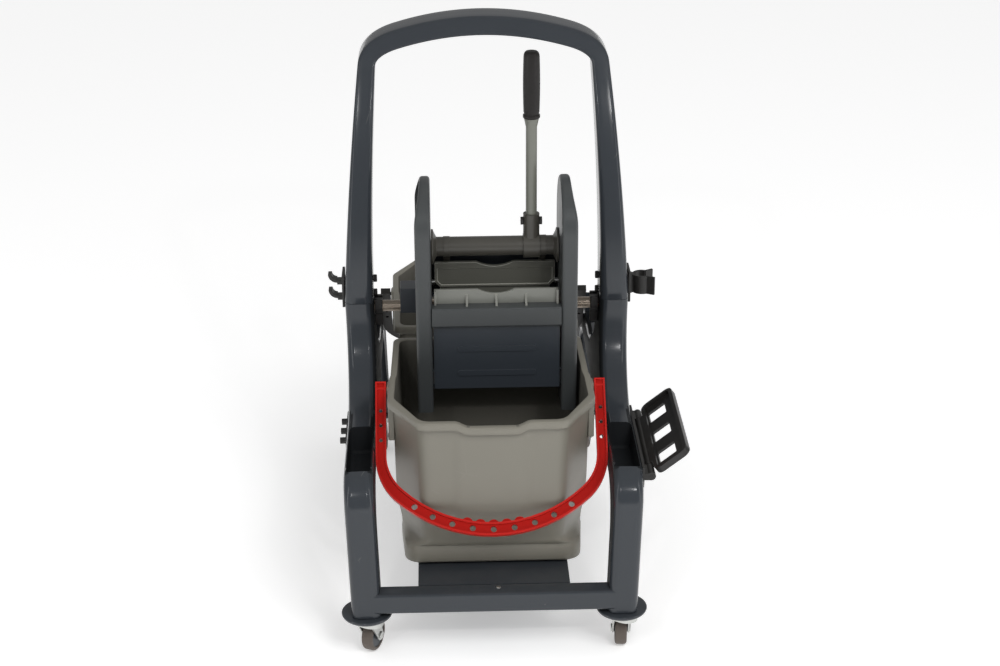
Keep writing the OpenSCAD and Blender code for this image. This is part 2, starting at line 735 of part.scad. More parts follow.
module wringer_hooks() {
    left_w = 26;
    right_w = 8;
    rise = 26;
    drop = 6;
    jaw = tube_r + air_gap;
    top = tube_z + tube_r + rise;
    low = tube_z - drop;
    wall = 9;
    color(dark_grey) translate([wringer_x, 0, 0]) for (x = [-plate_out - left_w, plate_out])
        sideways(x, x + (x < 0 ? left_w : right_w)) difference() {
            translate([tube_y - jaw - wall, low]) square([2 * (jaw + wall), top - low]);
            translate([tube_y, tube_z]) circle(r = jaw);
            translate([tube_y - jaw, low - 1]) square([2 * jaw, tube_z - low + 1]);
        }
}

// Press mechanism: shaft with flanges, two cranks, the lever and the sliding press plate
module press_shaft() {
    end_gap = 0.5;
    flange_r = shaft_r + 12;
    bevel = 4;
    half = plate_in - end_gap;
    color(wringer_grey) translate([wringer_x, shaft_y, shaft_z]) rotate([0, 90, 0]) {
        translate([0, 0, -half]) cylinder(h = 2 * half, r = shaft_r);
        translate([0, 0, -plate_out + 4]) cylinder(h = 2 * plate_out - 8, r = stub_r);
        for (s = [0, 1]) mirror([0, 0, s]) translate([0, 0, half]) rotate([180, 0, 0]) rotate_extrude()
            polygon([[0, 0], [flange_r, 0], [flange_r, 3], [flange_r - bevel, 4], [shaft_r, 8], [0, 8]]);
    }
}

module press_cranks() {
    t = 10;
    ring_r = shaft_r + 5;
    crank_x = lever_x + socket_r + 0.5;
    color(dark_grey) translate([wringer_x, shaft_y, shaft_z]) both_sides() sideways(crank_x, crank_x + t)
        rotate(crank_lean) difference() {
            union() {
                circle(r = ring_r);
                translate([0, -crank_r]) square([roller_r, crank_r]);
                translate([0, -crank_r]) circle(r = roller_r);
            }
            circle(r = shaft_r);
        }
}

lever_r = 8.5;
socket_r = 12.5;
socket_h = 52;
grip_l = 103;
grip_r = 13;
collar_h = 14;
module at_lever() { translate([wringer_x + lever_x, shaft_y, shaft_z]) children(); }

// Bore across the socket and the arm for the lever's bolt
bolt_r = 4;
bolt_z = socket_h - 12;
module bolt_bore() {
    translate([-socket_r - 1, 0, bolt_z]) rotate([0, 90, 0]) cylinder(h = 2 * socket_r + 2, r = bolt_r);
}

arm_z = shaft_r + 8;
module lever_socket() {
    color(wringer_grey) at_lever() difference() {
        union() {
            cylinder(h = socket_h, r = socket_r);
            translate([-socket_r, 0, 0]) rotate([0, 90, 0]) cylinder(h = 2 * socket_r, r = shaft_r + 4);
        }
        translate([-socket_r - 1, 0, 0]) rotate([0, 90, 0]) cylinder(h = 2 * socket_r + 2, r = shaft_r);
        translate([0, 0, arm_z]) cylinder(h = socket_h, r = lever_r);
        bolt_bore();
    }
}

grip_cap = 12;
module lever_arm() {
    top = lever_l - grip_l;
    color(pale_grey) at_lever() difference() {
        union() {
            translate([0, 0, arm_z]) cylinder(h = lever_l - grip_cap - arm_z, r = lever_r);
            translate([0, 0, top - collar_h]) cylinder(h = collar_h, r1 = lever_r, r2 = lever_r + 3);
        }
        bolt_bore();
    }
}

module lever_grip() {
    edge = 4;
    color(black) at_lever() translate([0, 0, lever_l - grip_l]) difference() {
        rotate_extrude() polygon(concat([[0, 0]], arc([grip_r - edge, edge], edge, -90, 0, 5),
            arc([grip_r - edge, grip_l - edge], edge, 0, 90, 5), [[0, grip_l]]));
        translate([0, 0, -1]) cylinder(h = grip_l - grip_cap + 1, r = lever_r);
    }
}

module lever_bolt() {
    head_r = 6.5;
    head_h = 4;
    color(zinc) at_lever() translate([0, 0, bolt_z]) rotate([0, 90, 0]) {
        translate([0, 0, -socket_r]) cylinder(h = 2 * socket_r, r = bolt_r);
        for (z = [-socket_r - head_h, socket_r])
            translate([0, 0, z]) cylinder(h = head_h, r = head_r, $fn = 6);
    }
}

press_half = plate_in - 5;
press_top = shaft_z - 31;
module press_plate() {
    panel_h = 40;
    chamfer = 8;
    notch_r = 60;
    notch_dip = 7;
    blade_h = 62;
    blade_t = 4;
    rim = 1.5;
    low = press_top - panel_h;
    color(wringer_grey) translate([wringer_x, press_y, 0]) {
        difference() {
            translate([0, press_t, 0]) rotate([90, 0, 0]) linear_extrude(press_t) polygon([
                [-press_half, low + chamfer], [-press_half + chamfer, low], [press_half - chamfer, low],
                [press_half, low + chamfer], [press_half, press_top], [-press_half, press_top]]);
            translate([0, -1, press_top + notch_r - notch_dip]) rotate([-90, 0, 0])
                cylinder(h = press_t + 2, r = notch_r);
            translate([0, rim, 0]) rotate([90, 0, 0]) linear_extrude(rim + 1) polygon([
                [-press_half + 4, low + chamfer + 2], [-press_half + chamfer + 2, low + 3],
                [press_half - chamfer - 2, low + 3], [press_half - 4, low + chamfer + 2],
                [press_half - 4, press_top - notch_dip - 3], [-press_half + 4, press_top - notch_dip - 3]]);
        }
        box([-press_half + chamfer, press_t - blade_t, low - blade_h],
            [press_half - chamfer, press_t, low + eps]);
    }
}

module press_guide_pins() {
    reach = plate_in + web_t - press_half;
    color(zinc) translate([wringer_x, press_y + press_t / 2, slot_z]) both_sides()
        translate([press_half, 0, 0]) rotate([0, 90, 0]) cylinder(h = reach, r = guide_r);
}

// Right side: clamp for mop handles, and the hinged grid flap
acc_z = seam_z + 14;
side_face = leg_w / 2;
jaw_t = 3.5;
plate_t = 4;
block_t = 4;
block_w = 14;
module clamp_plate(h) {
    w = 44;
    box([0, -w / 2, acc_z - h / 2], [plate_t, w / 2, acc_z + h / 2]);
}

module on_upright() { translate([seam_x + leg_w / 2 + air_gap, 0, 0]) children(); }

module mop_clamp_base() {
    color(black) on_upright() {
        clamp_plate(50);
        box([plate_t - eps, -block_w / 2, acc_z - 16], [plate_t + block_t, block_w / 2, acc_z + 16]);
    }
}

// Two springy jaws: an open ring for the handle with flared tips
module mop_clamp_jaws() {
    h = 30;
    mouth = 62;
    tip = 14;
    ring = handle_r + jaw_t;
    far = 3 * ring;
    color(black) on_upright() translate([plate_t + block_t + ring, 0, acc_z - h / 2]) linear_extrude(h) {
        difference() {
            union() {
                circle(r = ring);
                translate([-ring, -block_w / 2]) square([jaw_t, block_w]);
            }
            circle(r = handle_r);
            polygon([[0, 0], far * [cos(mouth), sin(mouth)], [far, 0], far * [cos(mouth), -sin(mouth)]]);
        }
        for (s = [-1, 1]) translate((handle_r + jaw_t / 2) * [cos(mouth), s * sin(mouth)]) rotate(s * 28)
            translate([0, -jaw_t / 2]) square([tip, jaw_t]);
    }
}

flap_back = 46;
flap_drop = 22;
flap_out = 14;
flap_y0 = -leg_front + flap_back;
flap_hinge_z = shoulder_z - flap_drop;
flap_hinge_x = side_face + flap_out;
hinge_r = 3;
barrel_r = 6.5;
knuckle = 30;
knuckle_gap = 1;
module flap_bracket() {
    t = 4;
    drop = 18;
    rise = 14;
    color(black) on_right_side() {
        box([side_face, flap_y0, flap_hinge_z - drop],
            [side_face + t, flap_y0 + flap_l, flap_hinge_z + rise]);
        for (y = [flap_y0, flap_y0 + flap_l - knuckle]) translate([flap_hinge_x, y, flap_hinge_z])
            difference() {
                union() {
                    box([side_face + t - eps - flap_hinge_x, 0, -barrel_r], [0, knuckle, barrel_r - 2]);
                    rotate([-90, 0, 0]) cylinder(h = knuckle, r = barrel_r);
                }
                translate([0, -1, 0]) rotate([-90, 0, 0]) cylinder(h = knuckle + 2, r = hinge_r);
            }
    }
}

module flap_pin() {
    color(zinc) on_right_side() translate([flap_hinge_x, flap_y0, flap_hinge_z]) rotate([-90, 0, 0])
        cylinder(h = flap_l, r = hinge_r);
}

module flap_grid() {
    t = 10;
    skin = 4;
    bar = 34;
    end_bar = 24;
    outer_bar = 20;
    rim = 6;
    slots = 3;
    y0 = knuckle + knuckle_gap;
    y1 = flap_l - knuckle - knuckle_gap;
    start = barrel_r + 3;
    slot_l = (flap_l - 2 * end_bar - (slots - 1) * bar) / slots;
    color(black) on_right_side() translate([flap_hinge_x, flap_y0, flap_hinge_z])
        rotate([0, -flap_angle, 0]) difference() {
            union() {
                slab([start, 0, -t / 2], [flap_w, flap_l, t / 2], 12);
                translate([0, y0, 0]) rotate([-90, 0, 0]) cylinder(h = y1 - y0, r = barrel_r);
                box([0, y0, -t / 2], [start + 4, y1, t / 2]);
            }
            translate([0, y0 - 1, 0]) rotate([-90, 0, 0]) cylinder(h = y1 - y0 + 2, r = hinge_r + fit_gap);
            slab([start + rim, rim, -t / 2 + skin], [flap_w - rim, flap_l - rim, t], 6);
            for (i = [0 : slots - 1]) translate([0, end_bar + i * (slot_l + bar), 0])
                slab([start + rim + 2, 0, -t], [flap_w - outer_bar, slot_l, t], 2);
        }
}

// Left side: double tool hook on the upright and a small rack of three pegs on the shoulder
module tool_hook() {
    arm = 7;
    reach = 8;
    inner_r = 8;
    outer_r = 14;
    width = 16;
    color(black) mirror([1, 0, 0]) on_upright() {
        clamp_plate(52);
        for (z = [acc_z + 14, acc_z - 12]) translate([plate_t - eps, width / 2, z]) rotate([90, 0, 0])
            linear_extrude(width) {
                translate([0, -arm]) square([reach, arm]);
                translate([reach, inner_r + 2]) intersection() {
                    difference() {
                        circle(r = outer_r);
                        circle(r = inner_r);
                    }
                    translate([-eps, -outer_r]) square([outer_r + eps, outer_r]);
                }
            }
    }
}

module peg_rack() {
    t = 3;
    pegs = 3;
    pitch = 33;
    peg_l = 9;
    peg_r = 5;
    y0 = -upright_d / 2 - sweep_r - 30;
    z0 = shoulder_z - 38;
    color(black) mirror([1, 0, 0]) on_right_side() {
        box([side_face, y0, z0], [side_face + t, y0 + pitch * pegs, z0 + 20]);
        for (i = [0 : pegs - 1]) translate([side_face + t - eps, y0 + pitch * (i + 0.5), z0 + 10])
            rotate([0, 90, 0]) cylinder(h = peg_l, r = peg_r);
    }
}

// Nuts of the clamp and the hook on the inner faces of the uprights
module accessory_nuts() {
    nut_h = 6;
    nut_r = 6;
    low = 10;
    high = 14;
    color(black) both_sides() for (z = [acc_z - low, acc_z + high])
        translate([seam_x - leg_w / 2 - nut_h - air_gap, 0, z]) rotate([0, 90, 0])
            cylinder(h = nut_h, r = nut_r);
}

// Which node to draw
front_beam();
rear_beam();
base_spine();
left_side_frame();
right_side_frame();
push_hoop();
cross_tube();
tube_clips();
corner_bumpers();
caster_stems();
tool_hook();
peg_rack();
mop_clamp_base();
mop_clamp_jaws();
flap_bracket();
flap_pin();
flap_grid();
accessory_nuts();
bucket();  // front_bucket
bucket_pins();  // front_bucket_pins
bucket_feet();  // front_bucket_feet
bail(red);  // front_bail
rotate([0, 0, 180]) bucket();  // rear_bucket
rotate([0, 0, 180]) bucket_pins();  // rear_bucket_pins
rotate([0, 0, 180]) bucket_feet();  // rear_bucket_feet
rotate([0, 0, 180]) bail(black);  // rear_bail
wringer_left_plate();
wringer_right_plate();
wringer_beam();
wringer_skirt();
wringer_fixed_plate();
wringer_rear_tie();
wringer_strainer();
wringer_hooks();
press_shaft();
press_cranks();
lever_socket();
lever_arm();
lever_grip();
lever_bolt();
press_plate();
press_guide_pins();
for (c = ["front_left", "front_right", "rear_left", "rear_right"]) {
    at_caster(c) fork();
    at_caster(c) axle();
    at_caster(c) hub();
    at_caster(c) tyre();
}
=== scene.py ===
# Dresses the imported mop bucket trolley: moulded forms, finishes, studio light and a camera.

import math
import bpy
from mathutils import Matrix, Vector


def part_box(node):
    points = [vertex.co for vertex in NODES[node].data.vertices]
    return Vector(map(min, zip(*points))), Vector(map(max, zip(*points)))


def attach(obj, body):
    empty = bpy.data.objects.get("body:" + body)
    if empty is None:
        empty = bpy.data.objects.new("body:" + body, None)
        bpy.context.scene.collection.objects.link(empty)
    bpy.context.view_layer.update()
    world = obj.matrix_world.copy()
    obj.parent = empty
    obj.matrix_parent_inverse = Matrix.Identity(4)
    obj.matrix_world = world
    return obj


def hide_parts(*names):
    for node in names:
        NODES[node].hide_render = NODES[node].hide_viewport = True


bl_info = {
    "name": "Mop Bucket Trolley",
    "version": (1, 0, 0),
    "blender": (4, 5, 0),
    "location": "View3D > Sidebar > Trolley",
    "description": "Dresses the packed trolley with moulded forms, finishes, light and a camera",
    "category": "Object",
}

import bmesh
import bpy
from bpy.props import FloatProperty, FloatVectorProperty, PointerProperty
from mathutils import Matrix, Vector

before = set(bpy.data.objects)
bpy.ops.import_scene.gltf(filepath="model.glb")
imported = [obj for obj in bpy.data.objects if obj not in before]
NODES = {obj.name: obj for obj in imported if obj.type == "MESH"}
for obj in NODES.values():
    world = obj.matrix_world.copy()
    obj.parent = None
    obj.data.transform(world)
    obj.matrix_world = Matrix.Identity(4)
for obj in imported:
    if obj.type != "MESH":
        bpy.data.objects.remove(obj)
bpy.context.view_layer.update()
CASTERS = ("front_left", "front_right", "rear_left", "rear_right")


def linear(r, g, b):
    """Linear colour of an 8-bit sRGB one."""
    return tuple(c / 255 / 12.92 if c <= 10 else ((c / 255 + 0.055) / 1.055) ** 2.4 for c in (r, g, b))


def tint(name, about, rgb):
    return FloatVectorProperty(name=name, description=about, subtype="COLOR", min=0, max=1,
                               default=linear(*rgb))


def length(name, about, value):
    return FloatProperty(name=name, description=about, unit="LENGTH", min=0, default=value)


class TrolleyFinish(bpy.types.PropertyGroup):
    """Colours of the trolley's mouldings and metal."""

    slate: tint("Frame", "Side frames, hoop and base", (52, 56, 61))
    # Painted shade: a darker slate on the side frames' inner faces and trays
    slate_side_shade: tint("Frame inside shade", "Painted shade on the inner faces of the side frames and their trays", (36, 38, 40))
    wringer: tint("Wringer", "Wringer plates and beam", (61, 64, 65))
    shaft: tint("Shaft", "Press shaft, cranks and lever socket", (68, 66, 61))
    # Painted light: the press plate's grey is raised above its own colour to offset the shadow it sits in
    press: tint("Press plate", "Sliding press plate, painted lighter against its shadow", (93, 93, 86))
    # Painted highlight: a pale colour on the rounded edges of both squeeze plates
    edge: tint("Plate edges", "Painted highlight on the edges of both squeeze plates", (170, 170, 161))
    skirt: tint("Skirt", "Skirt panel and inner wringer pieces", (49, 54, 60))
    squeeze: tint("Squeeze plate", "Fixed squeeze plate", (124, 125, 119))
    bucket: tint("Buckets", "Both buckets", (124, 121, 111))
    # Painted shade: a darker grey on the buckets' inner walls and floors
    inside: tint("Bucket insides", "Painted shade on the inner walls and floors of the buckets", (101, 99, 92))
    lever: tint("Lever", "Lever arm", (114, 115, 107))
    grip: tint("Grip", "Lever grip", (25, 22, 21))
    front_bail: tint("Front bail", "Bail of the front bucket", (181, 26, 19))
    # Painted highlight: a lighter red on the front bail's raised edges
    bail_edge_highlight: tint("Bail edges", "Painted highlight on the raised edges of the front bail", (212, 46, 36))
    # Painted shade: a darker red on the floor of the front bail's groove
    bail_groove_shade: tint("Bail groove shade", "Painted shade on the floor of the front bail's groove", (164, 20, 14))
    rear_bail: tint("Rear bail", "Bail of the rear bucket", (36, 34, 32))
    black: tint("Holders", "Black holders, hooks and clips", (31, 30, 29))
    zinc: tint("Zinc", "Forks, axles and bolts", (201, 202, 199))
    tube: tint("Tube", "Cross tube", (161, 149, 136))
    tyre: tint("Tyres", "Caster treads", (90, 81, 74))


class TrolleyForm(bpy.types.PropertyGroup):
    """Sizes of the dressed forms."""

    frame_round: length("Frame edge", "Rounding of the frame's long edges", 0.012)
    hoop_round: length("Hoop edge", "Rounding of the hoop's section", 0.0125)
    hoop_sharper: FloatProperty(name="Hoop sharpening", min=0, max=1, default=0.68, subtype="FACTOR",
                                description="Share of the hoop's rounding that is lost up to its top")
    bucket_wall: length("Bucket wall", "Wall of the buckets", 0.003)
    rim_step: length("Rim step", "How far the rim draws in behind the ears", 0.0018)
    spout_dip: length("Spout dip", "Depth of the pouring dip in the lip", 0.008)
    spout_half: length("Spout half width", "Half width of the pouring dip", 0.056)
    panel_rise: length("Panel rise", "How far the lip's middle panel stands out", 0.0025)
    belly: length("Belly", "Swell of the bucket's wall above its plinth", 0.003)
    base_round: length("Base edge", "Rounding of the bucket's lower edge", 0.008)
    foot_round: length("Foot edge", "Rounding of the legs' feet", 0.0026)
    small_round: length("Small edge", "Rounding of the small mouldings", 0.0012)
    plate_round: length("Plate rim", "Rounding of the wringer plates' rims", 0.005)
    hood_r: length("Hood radius", "Radius of the casters' hoods", 0.0238)
    hood_drop: length("Hood drop", "How far a hood's rim slopes each way from its middle", 0.0058)


def forms():
    return bpy.context.scene.trolley_form


def finishes():
    return bpy.context.scene.trolley_finish


# Sizes shared with the part's source, in metres; LIP_SHARE is a share of the draw-in
SEAM_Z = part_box("push_hoop")[0].z
LEG_X, LEG_Z, LEG_W, LEG_D = 0.190, 0.075, 0.044, 0.054
AXLE_Y = 0.352
LEAN = math.radians(1.65)
SHOULDER_Z, ARCH_Z, UPRIGHT_D = 0.303, 0.250, 0.080
SHOULDER_R, ARCH_R, TRIM = 0.056, 0.056, 0.020
SWEEP_R = SEAM_Z - SHOULDER_Z - 0.008
TRAY_WALL, TRAY_DEPTH, TRAY_FRONT, TRAY_BACK, TRAY_CORNER = 0.004, 0.044, 0.040, 0.026, 0.007
HOOP_H, HOOP_SETBACK, HOOP_TOP_W, HOOP_TOP_D, HOOP_CROWN = 0.424, 0.115, 0.027, 0.056, 0.018
HOOP_LEAN, HOOP_SIDE_BOW = math.radians(1.5), 0.0105
HOOP_CORNER_DROP, HOOP_CORNER_IN = 0.068, 0.066
RIM_Z, RIM_HALF, RIM_REAR_HALF, LIP_HALF = 0.374, 0.154, 0.150, 0.108
BUCKET_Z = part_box("front_bucket")[0].z
BUCKET_GAP, BUCKET_L, LIP_TAPER = 0.020, 0.318, 0.081
BUCKET_DRAFT, LIP_DRAFT, RIM_IN, RIM_BAND = 0.016, 0.044, 0.007, 0.012
PIVOT_Y, PIVOT_Z, BAIL_ANGLE = 0.192, 0.364, math.radians(42)
PLINTH_TOP, PLINTH_SLOPE, PLINTH_TAPER, LIP_SHARE = BUCKET_Z + 0.024, 0.022, 0.006, 0.4
APRON_DROP, APRON_FRONT, EAR_D, EAR_OUT = 0.070, 0.056, 0.024, 0.002
WRINGER_X, SHAFT_R = 0.012, 0.015

# Sizes of the dressing alone, in metres; CREASE_DEPTH is a share of the belly
SEAM_EDGE, BEAM_EDGE, BEAM_AIR = 0.0006, 0.004, 0.0004
BUMPER_BOWL, BUMPER_LIP = 0.005, 0.002
BELLY_TOP, BELLY_LOW = 0.36, 0.21
CREASE_TOP, CREASE_LOW, CREASE_DEPTH = 0.204, 0.153, 1.6
PANEL_TOP, PANEL_TOP_FADE, PANEL_LOW, PANEL_LOW_FADE = 0.362, 0.016, 0.186, 0.020
PANEL_HALF, PANEL_STEP, SPOUT_LOW = 0.060, 0.014, 0.345
INNER_CLEAR, INNER_TOP, INNER_LOW = 0.007, 0.205, 0.165
PLATE_LEAN, PLATE_LEAN_H = 0.008, 0.055
CRANK_RING, CRANK_RING_CAD = 0.0008, 0.0055
FINE_EDGE, THIN_EDGE = 0.0006, 0.0005
SCREW_X, SCREW_IN, SCREW_SINK = 0.006, 0.012, 0.0004
SCREW_PROFILE = ((0.0002, 0.0), (0.0038, 0.0), (0.0034, 0.0013), (0.0022, 0.0020), (0.0002, 0.0022))

# Which edges are rounded, which faces count as flat, and what is welded
EDGE_ANGLE, FLAT_ANGLE, WELD_GAP = math.radians(32), math.radians(0.8), 2e-5

# Stage: the floor's half length, and the camera's place, lens and turn, tilt and roll in degrees
FLOOR_REACH = 14.0
CAMERA_PLACE, CAMERA_LENS, CAMERA_ANGLES = (-0.0705, -2.883, 1.6034), 70.63, (-1.825, 66.85, -0.28)


# Shader node groups


def new_group(name, inputs, outputs):
    """An empty node group with its sockets, and its input and output nodes."""
    group = bpy.data.node_groups.new(name, "ShaderNodeTree")
    for label, kind, value in inputs:
        socket = group.interface.new_socket(label, in_out="INPUT", socket_type=f"NodeSocket{kind}")
        socket.default_value = value
    for label, kind in outputs:
        group.interface.new_socket(label, in_out="OUTPUT", socket_type=f"NodeSocket{kind}")
    return group, group.nodes.new("NodeGroupInput"), group.nodes.new("NodeGroupOutput")


def feed(tree, socket, value):
    """Links another socket to an input, or sets the input to a value."""
    if isinstance(value, bpy.types.NodeSocket):
        tree.links.new(value, socket)
    else:
        socket.default_value = value


def feed_all(tree, node, **values):
    """Feeds a node's inputs by name, with underscores for the spaces."""
    for label, value in values.items():
        feed(tree, node.inputs[label.replace("_", " ")], value)
    return node


def math_node(tree, operation, a, b):
    node = tree.nodes.new("ShaderNodeMath")
    node.operation = operation
    for socket, value in zip(node.inputs, (a, b)):
        feed(tree, socket, value)
    return node.outputs[0]


def noise_node(tree, coords, scale, detail):
    node = tree.nodes.new("ShaderNodeTexNoise")
    return feed_all(tree, node, Vector=coords, Scale=scale, Detail=detail).outputs["Fac"]


def span(tree, value, low, high, to_low=0.0, to_high=1.0):
    node = tree.nodes.new("ShaderNodeMapRange")
    node.interpolation_type = "SMOOTHSTEP"
    feed_all(tree, node, Value=value, From_Min=low, From_Max=high, To_Min=to_low, To_Max=to_high)
    return node.outputs["Result"]


def scaled(tree, colour, factor):
    node = tree.nodes.new("ShaderNodeVectorMath")
    node.operation = "SCALE"
    return feed_all(tree, node, Vector=colour, Scale=factor).outputs[0]


def object_coords(tree):
    return tree.nodes.new("ShaderNodeTexCoord").outputs["Object"]


def moulded_skin_group():
    """Mottled colour, uneven gloss and fine orange peel of a moulded surface."""
    group, given, out = new_group(
        "Moulded skin",
        (("Colour", "Color", (0.5, 0.5, 0.5, 1)), ("Mottle", "Float", 0.06), ("Roughness", "Float", 0.35),
         ("Spread", "Float", 0.03), ("Grain Scale", "Float", 700.0)),
        (("Colour", "Color"), ("Roughness", "Float"), ("Height", "Float")))
    coords = object_coords(group)
    patches = math_node(group, "SUBTRACT", noise_node(group, coords, 9.0, 3.0), 0.5)
    gain = math_node(group, "MULTIPLY", patches, given.outputs["Mottle"])
    gain = math_node(group, "ADD", math_node(group, "MULTIPLY", gain, 4.0), 1.0)
    smears = math_node(group, "SUBTRACT", noise_node(group, coords, 34.0, 4.0), 0.5)
    smears = math_node(group, "MULTIPLY", math_node(group, "MULTIPLY", smears, 4.0), given.outputs["Spread"])
    feed_all(group, out, Colour=scaled(group, given.outputs["Colour"], gain),
             Roughness=math_node(group, "ADD", smears, given.outputs["Roughness"]),
             Height=noise_node(group, coords, given.outputs["Grain Scale"], 2.0))
    return group


def scuff_group():
    """Sparse hair scratches and flecks, as a mask."""
    group, given, out = new_group(
        "Scuff marks", (("Scale", "Float", 22.0), ("Amount", "Float", 0.3)), (("Mask", "Float"),))
    coords = object_coords(group)
    cells = group.nodes.new("ShaderNodeTexVoronoi")
    cells.feature = "DISTANCE_TO_EDGE"
    feed_all(group, cells, Vector=coords, Scale=given.outputs["Scale"])
    hair = span(group, cells.outputs["Distance"], 0.004, 0.016, 1.0, 0.0)
    places = span(group, noise_node(group, coords, 13.0, 3.0), 0.66, 0.72)
    flecks = span(group, noise_node(group, coords, 260.0, 1.0), 0.74, 0.79)
    rare = span(group, noise_node(group, coords, 21.0, 1.0), 0.64, 0.72)
    marks = math_node(group, "MAXIMUM", math_node(group, "MULTIPLY", hair, places),
                      math_node(group, "MULTIPLY", flecks, rare))
    feed_all(group, out, Mask=math_node(group, "MULTIPLY", marks, given.outputs["Amount"]))
    return group


def dust_group():
    """Dust that settles on faces that look up, as a mask."""
    group, given, out = new_group("Settled dust", (("Amount", "Float", 0.2),), (("Mask", "Float"),))
    split = group.nodes.new("ShaderNodeSeparateXYZ")
    group.links.new(group.nodes.new("ShaderNodeNewGeometry").outputs["Normal"], split.inputs[0])
    up = span(group, split.outputs["Z"], 0.45, 1.0)
    patchy = span(group, noise_node(group, object_coords(group), 16.0, 5.0), 0.32, 0.72)
    mask = math_node(group, "MULTIPLY", math_node(group, "MULTIPLY", up, patchy), given.outputs["Amount"])
    feed_all(group, out, Mask=mask)
    return group


def brushed_group():
    """Fine streaks along one direction for drawn and plated metal."""
    group, given, out = new_group(
        "Drawn streaks",
        (("Colour", "Color", (0.6, 0.6, 0.6, 1)), ("Stretch", "Vector", (20, 600, 600)),
         ("Roughness", "Float", 0.3), ("Depth", "Float", 0.1)),
        (("Colour", "Color"), ("Roughness", "Float"), ("Height", "Float")))
    stretch = group.nodes.new("ShaderNodeVectorMath")
    stretch.operation = "MULTIPLY"
    coords = object_coords(group)
    group.links.new(coords, stretch.inputs[0])
    group.links.new(given.outputs["Stretch"], stretch.inputs[1])
    streaks = noise_node(group, stretch.outputs[0], 1.0, 3.0)
    centred = math_node(group, "SUBTRACT", streaks, 0.5)
    cloudy = math_node(group, "SUBTRACT", noise_node(group, coords, 60.0, 3.0), 0.5)
    both = math_node(group, "MULTIPLY", math_node(group, "ADD", centred, cloudy), given.outputs["Depth"])
    gain = math_node(group, "ADD", both, 1.0)
    feed_all(group, out, Colour=scaled(group, given.outputs["Colour"], gain),
             Roughness=math_node(group, "ADD", both, given.outputs["Roughness"]), Height=streaks)
    return group


GROUPS = {}


def place_group(tree, build, **values):
    """A node of a group that is built once and shared."""
    if build not in GROUPS:
        GROUPS[build] = build()
    node = tree.nodes.new("ShaderNodeGroup")
    node.node_tree = GROUPS[build]
    return feed_all(tree, node, **values)


def overlay(tree, below, mask, colour):
    mix = tree.nodes.new("ShaderNodeMix")
    mix.data_type = "RGBA"
    tree.links.new(mask, mix.inputs["Factor"])
    tree.links.new(below, mix.inputs[6])
    mix.inputs[7].default_value = (*colour, 1)
    return mix.outputs[2]


def start_material(name):
    material = bpy.data.materials.new(name)
    material.use_nodes = True
    return material, material.node_tree, material.node_tree.nodes["Principled BSDF"]


def add_bump(tree, shader, height, strength, distance):
    bump = tree.nodes.new("ShaderNodeBump")
    feed_all(tree, bump, Strength=strength, Distance=distance, Height=height)
    feed_all(tree, shader, Normal=bump.outputs["Normal"])


PALE_MARK = linear(170, 170, 166)
DUST = linear(170, 168, 159)


def plastic(name, colour, roughness, mottle, grain, bump, scuffs, dust, shine):
    """Moulded plastic or rubber with its own gloss, grain, marks and dust."""
    material, tree, shader = start_material(name)
    skin = place_group(tree, moulded_skin_group, Colour=(*colour, 1), Mottle=mottle, Roughness=roughness,
                       Grain_Scale=grain)
    base = skin.outputs["Colour"]
    for build, amount, shade in ((scuff_group, scuffs, PALE_MARK), (dust_group, dust, DUST)):
        if amount:
            base = overlay(tree, base, place_group(tree, build, Amount=amount).outputs["Mask"], shade)
    feed_all(tree, shader, Base_Color=base, Roughness=skin.outputs["Roughness"], Specular_IOR_Level=shine)
    add_bump(tree, shader, skin.outputs["Height"], bump, 0.0004)
    return material


def metal(name, colour, roughness, stretch, depth, bump):
    """Plated or drawn steel."""
    material, tree, shader = start_material(name)
    streaks = place_group(tree, brushed_group, Colour=(*colour, 1), Stretch=stretch, Roughness=roughness,
                          Depth=depth)
    feed_all(tree, shader, Base_Color=streaks.outputs["Colour"], Roughness=streaks.outputs["Roughness"],
             Metallic=1.0)
    add_bump(tree, shader, streaks.outputs["Height"], bump, 0.0002)
    return material


MATERIALS = {}

# Finishes that borrow another one's colour
BORROWED = {"foot": "grip", "hub": "skirt"}

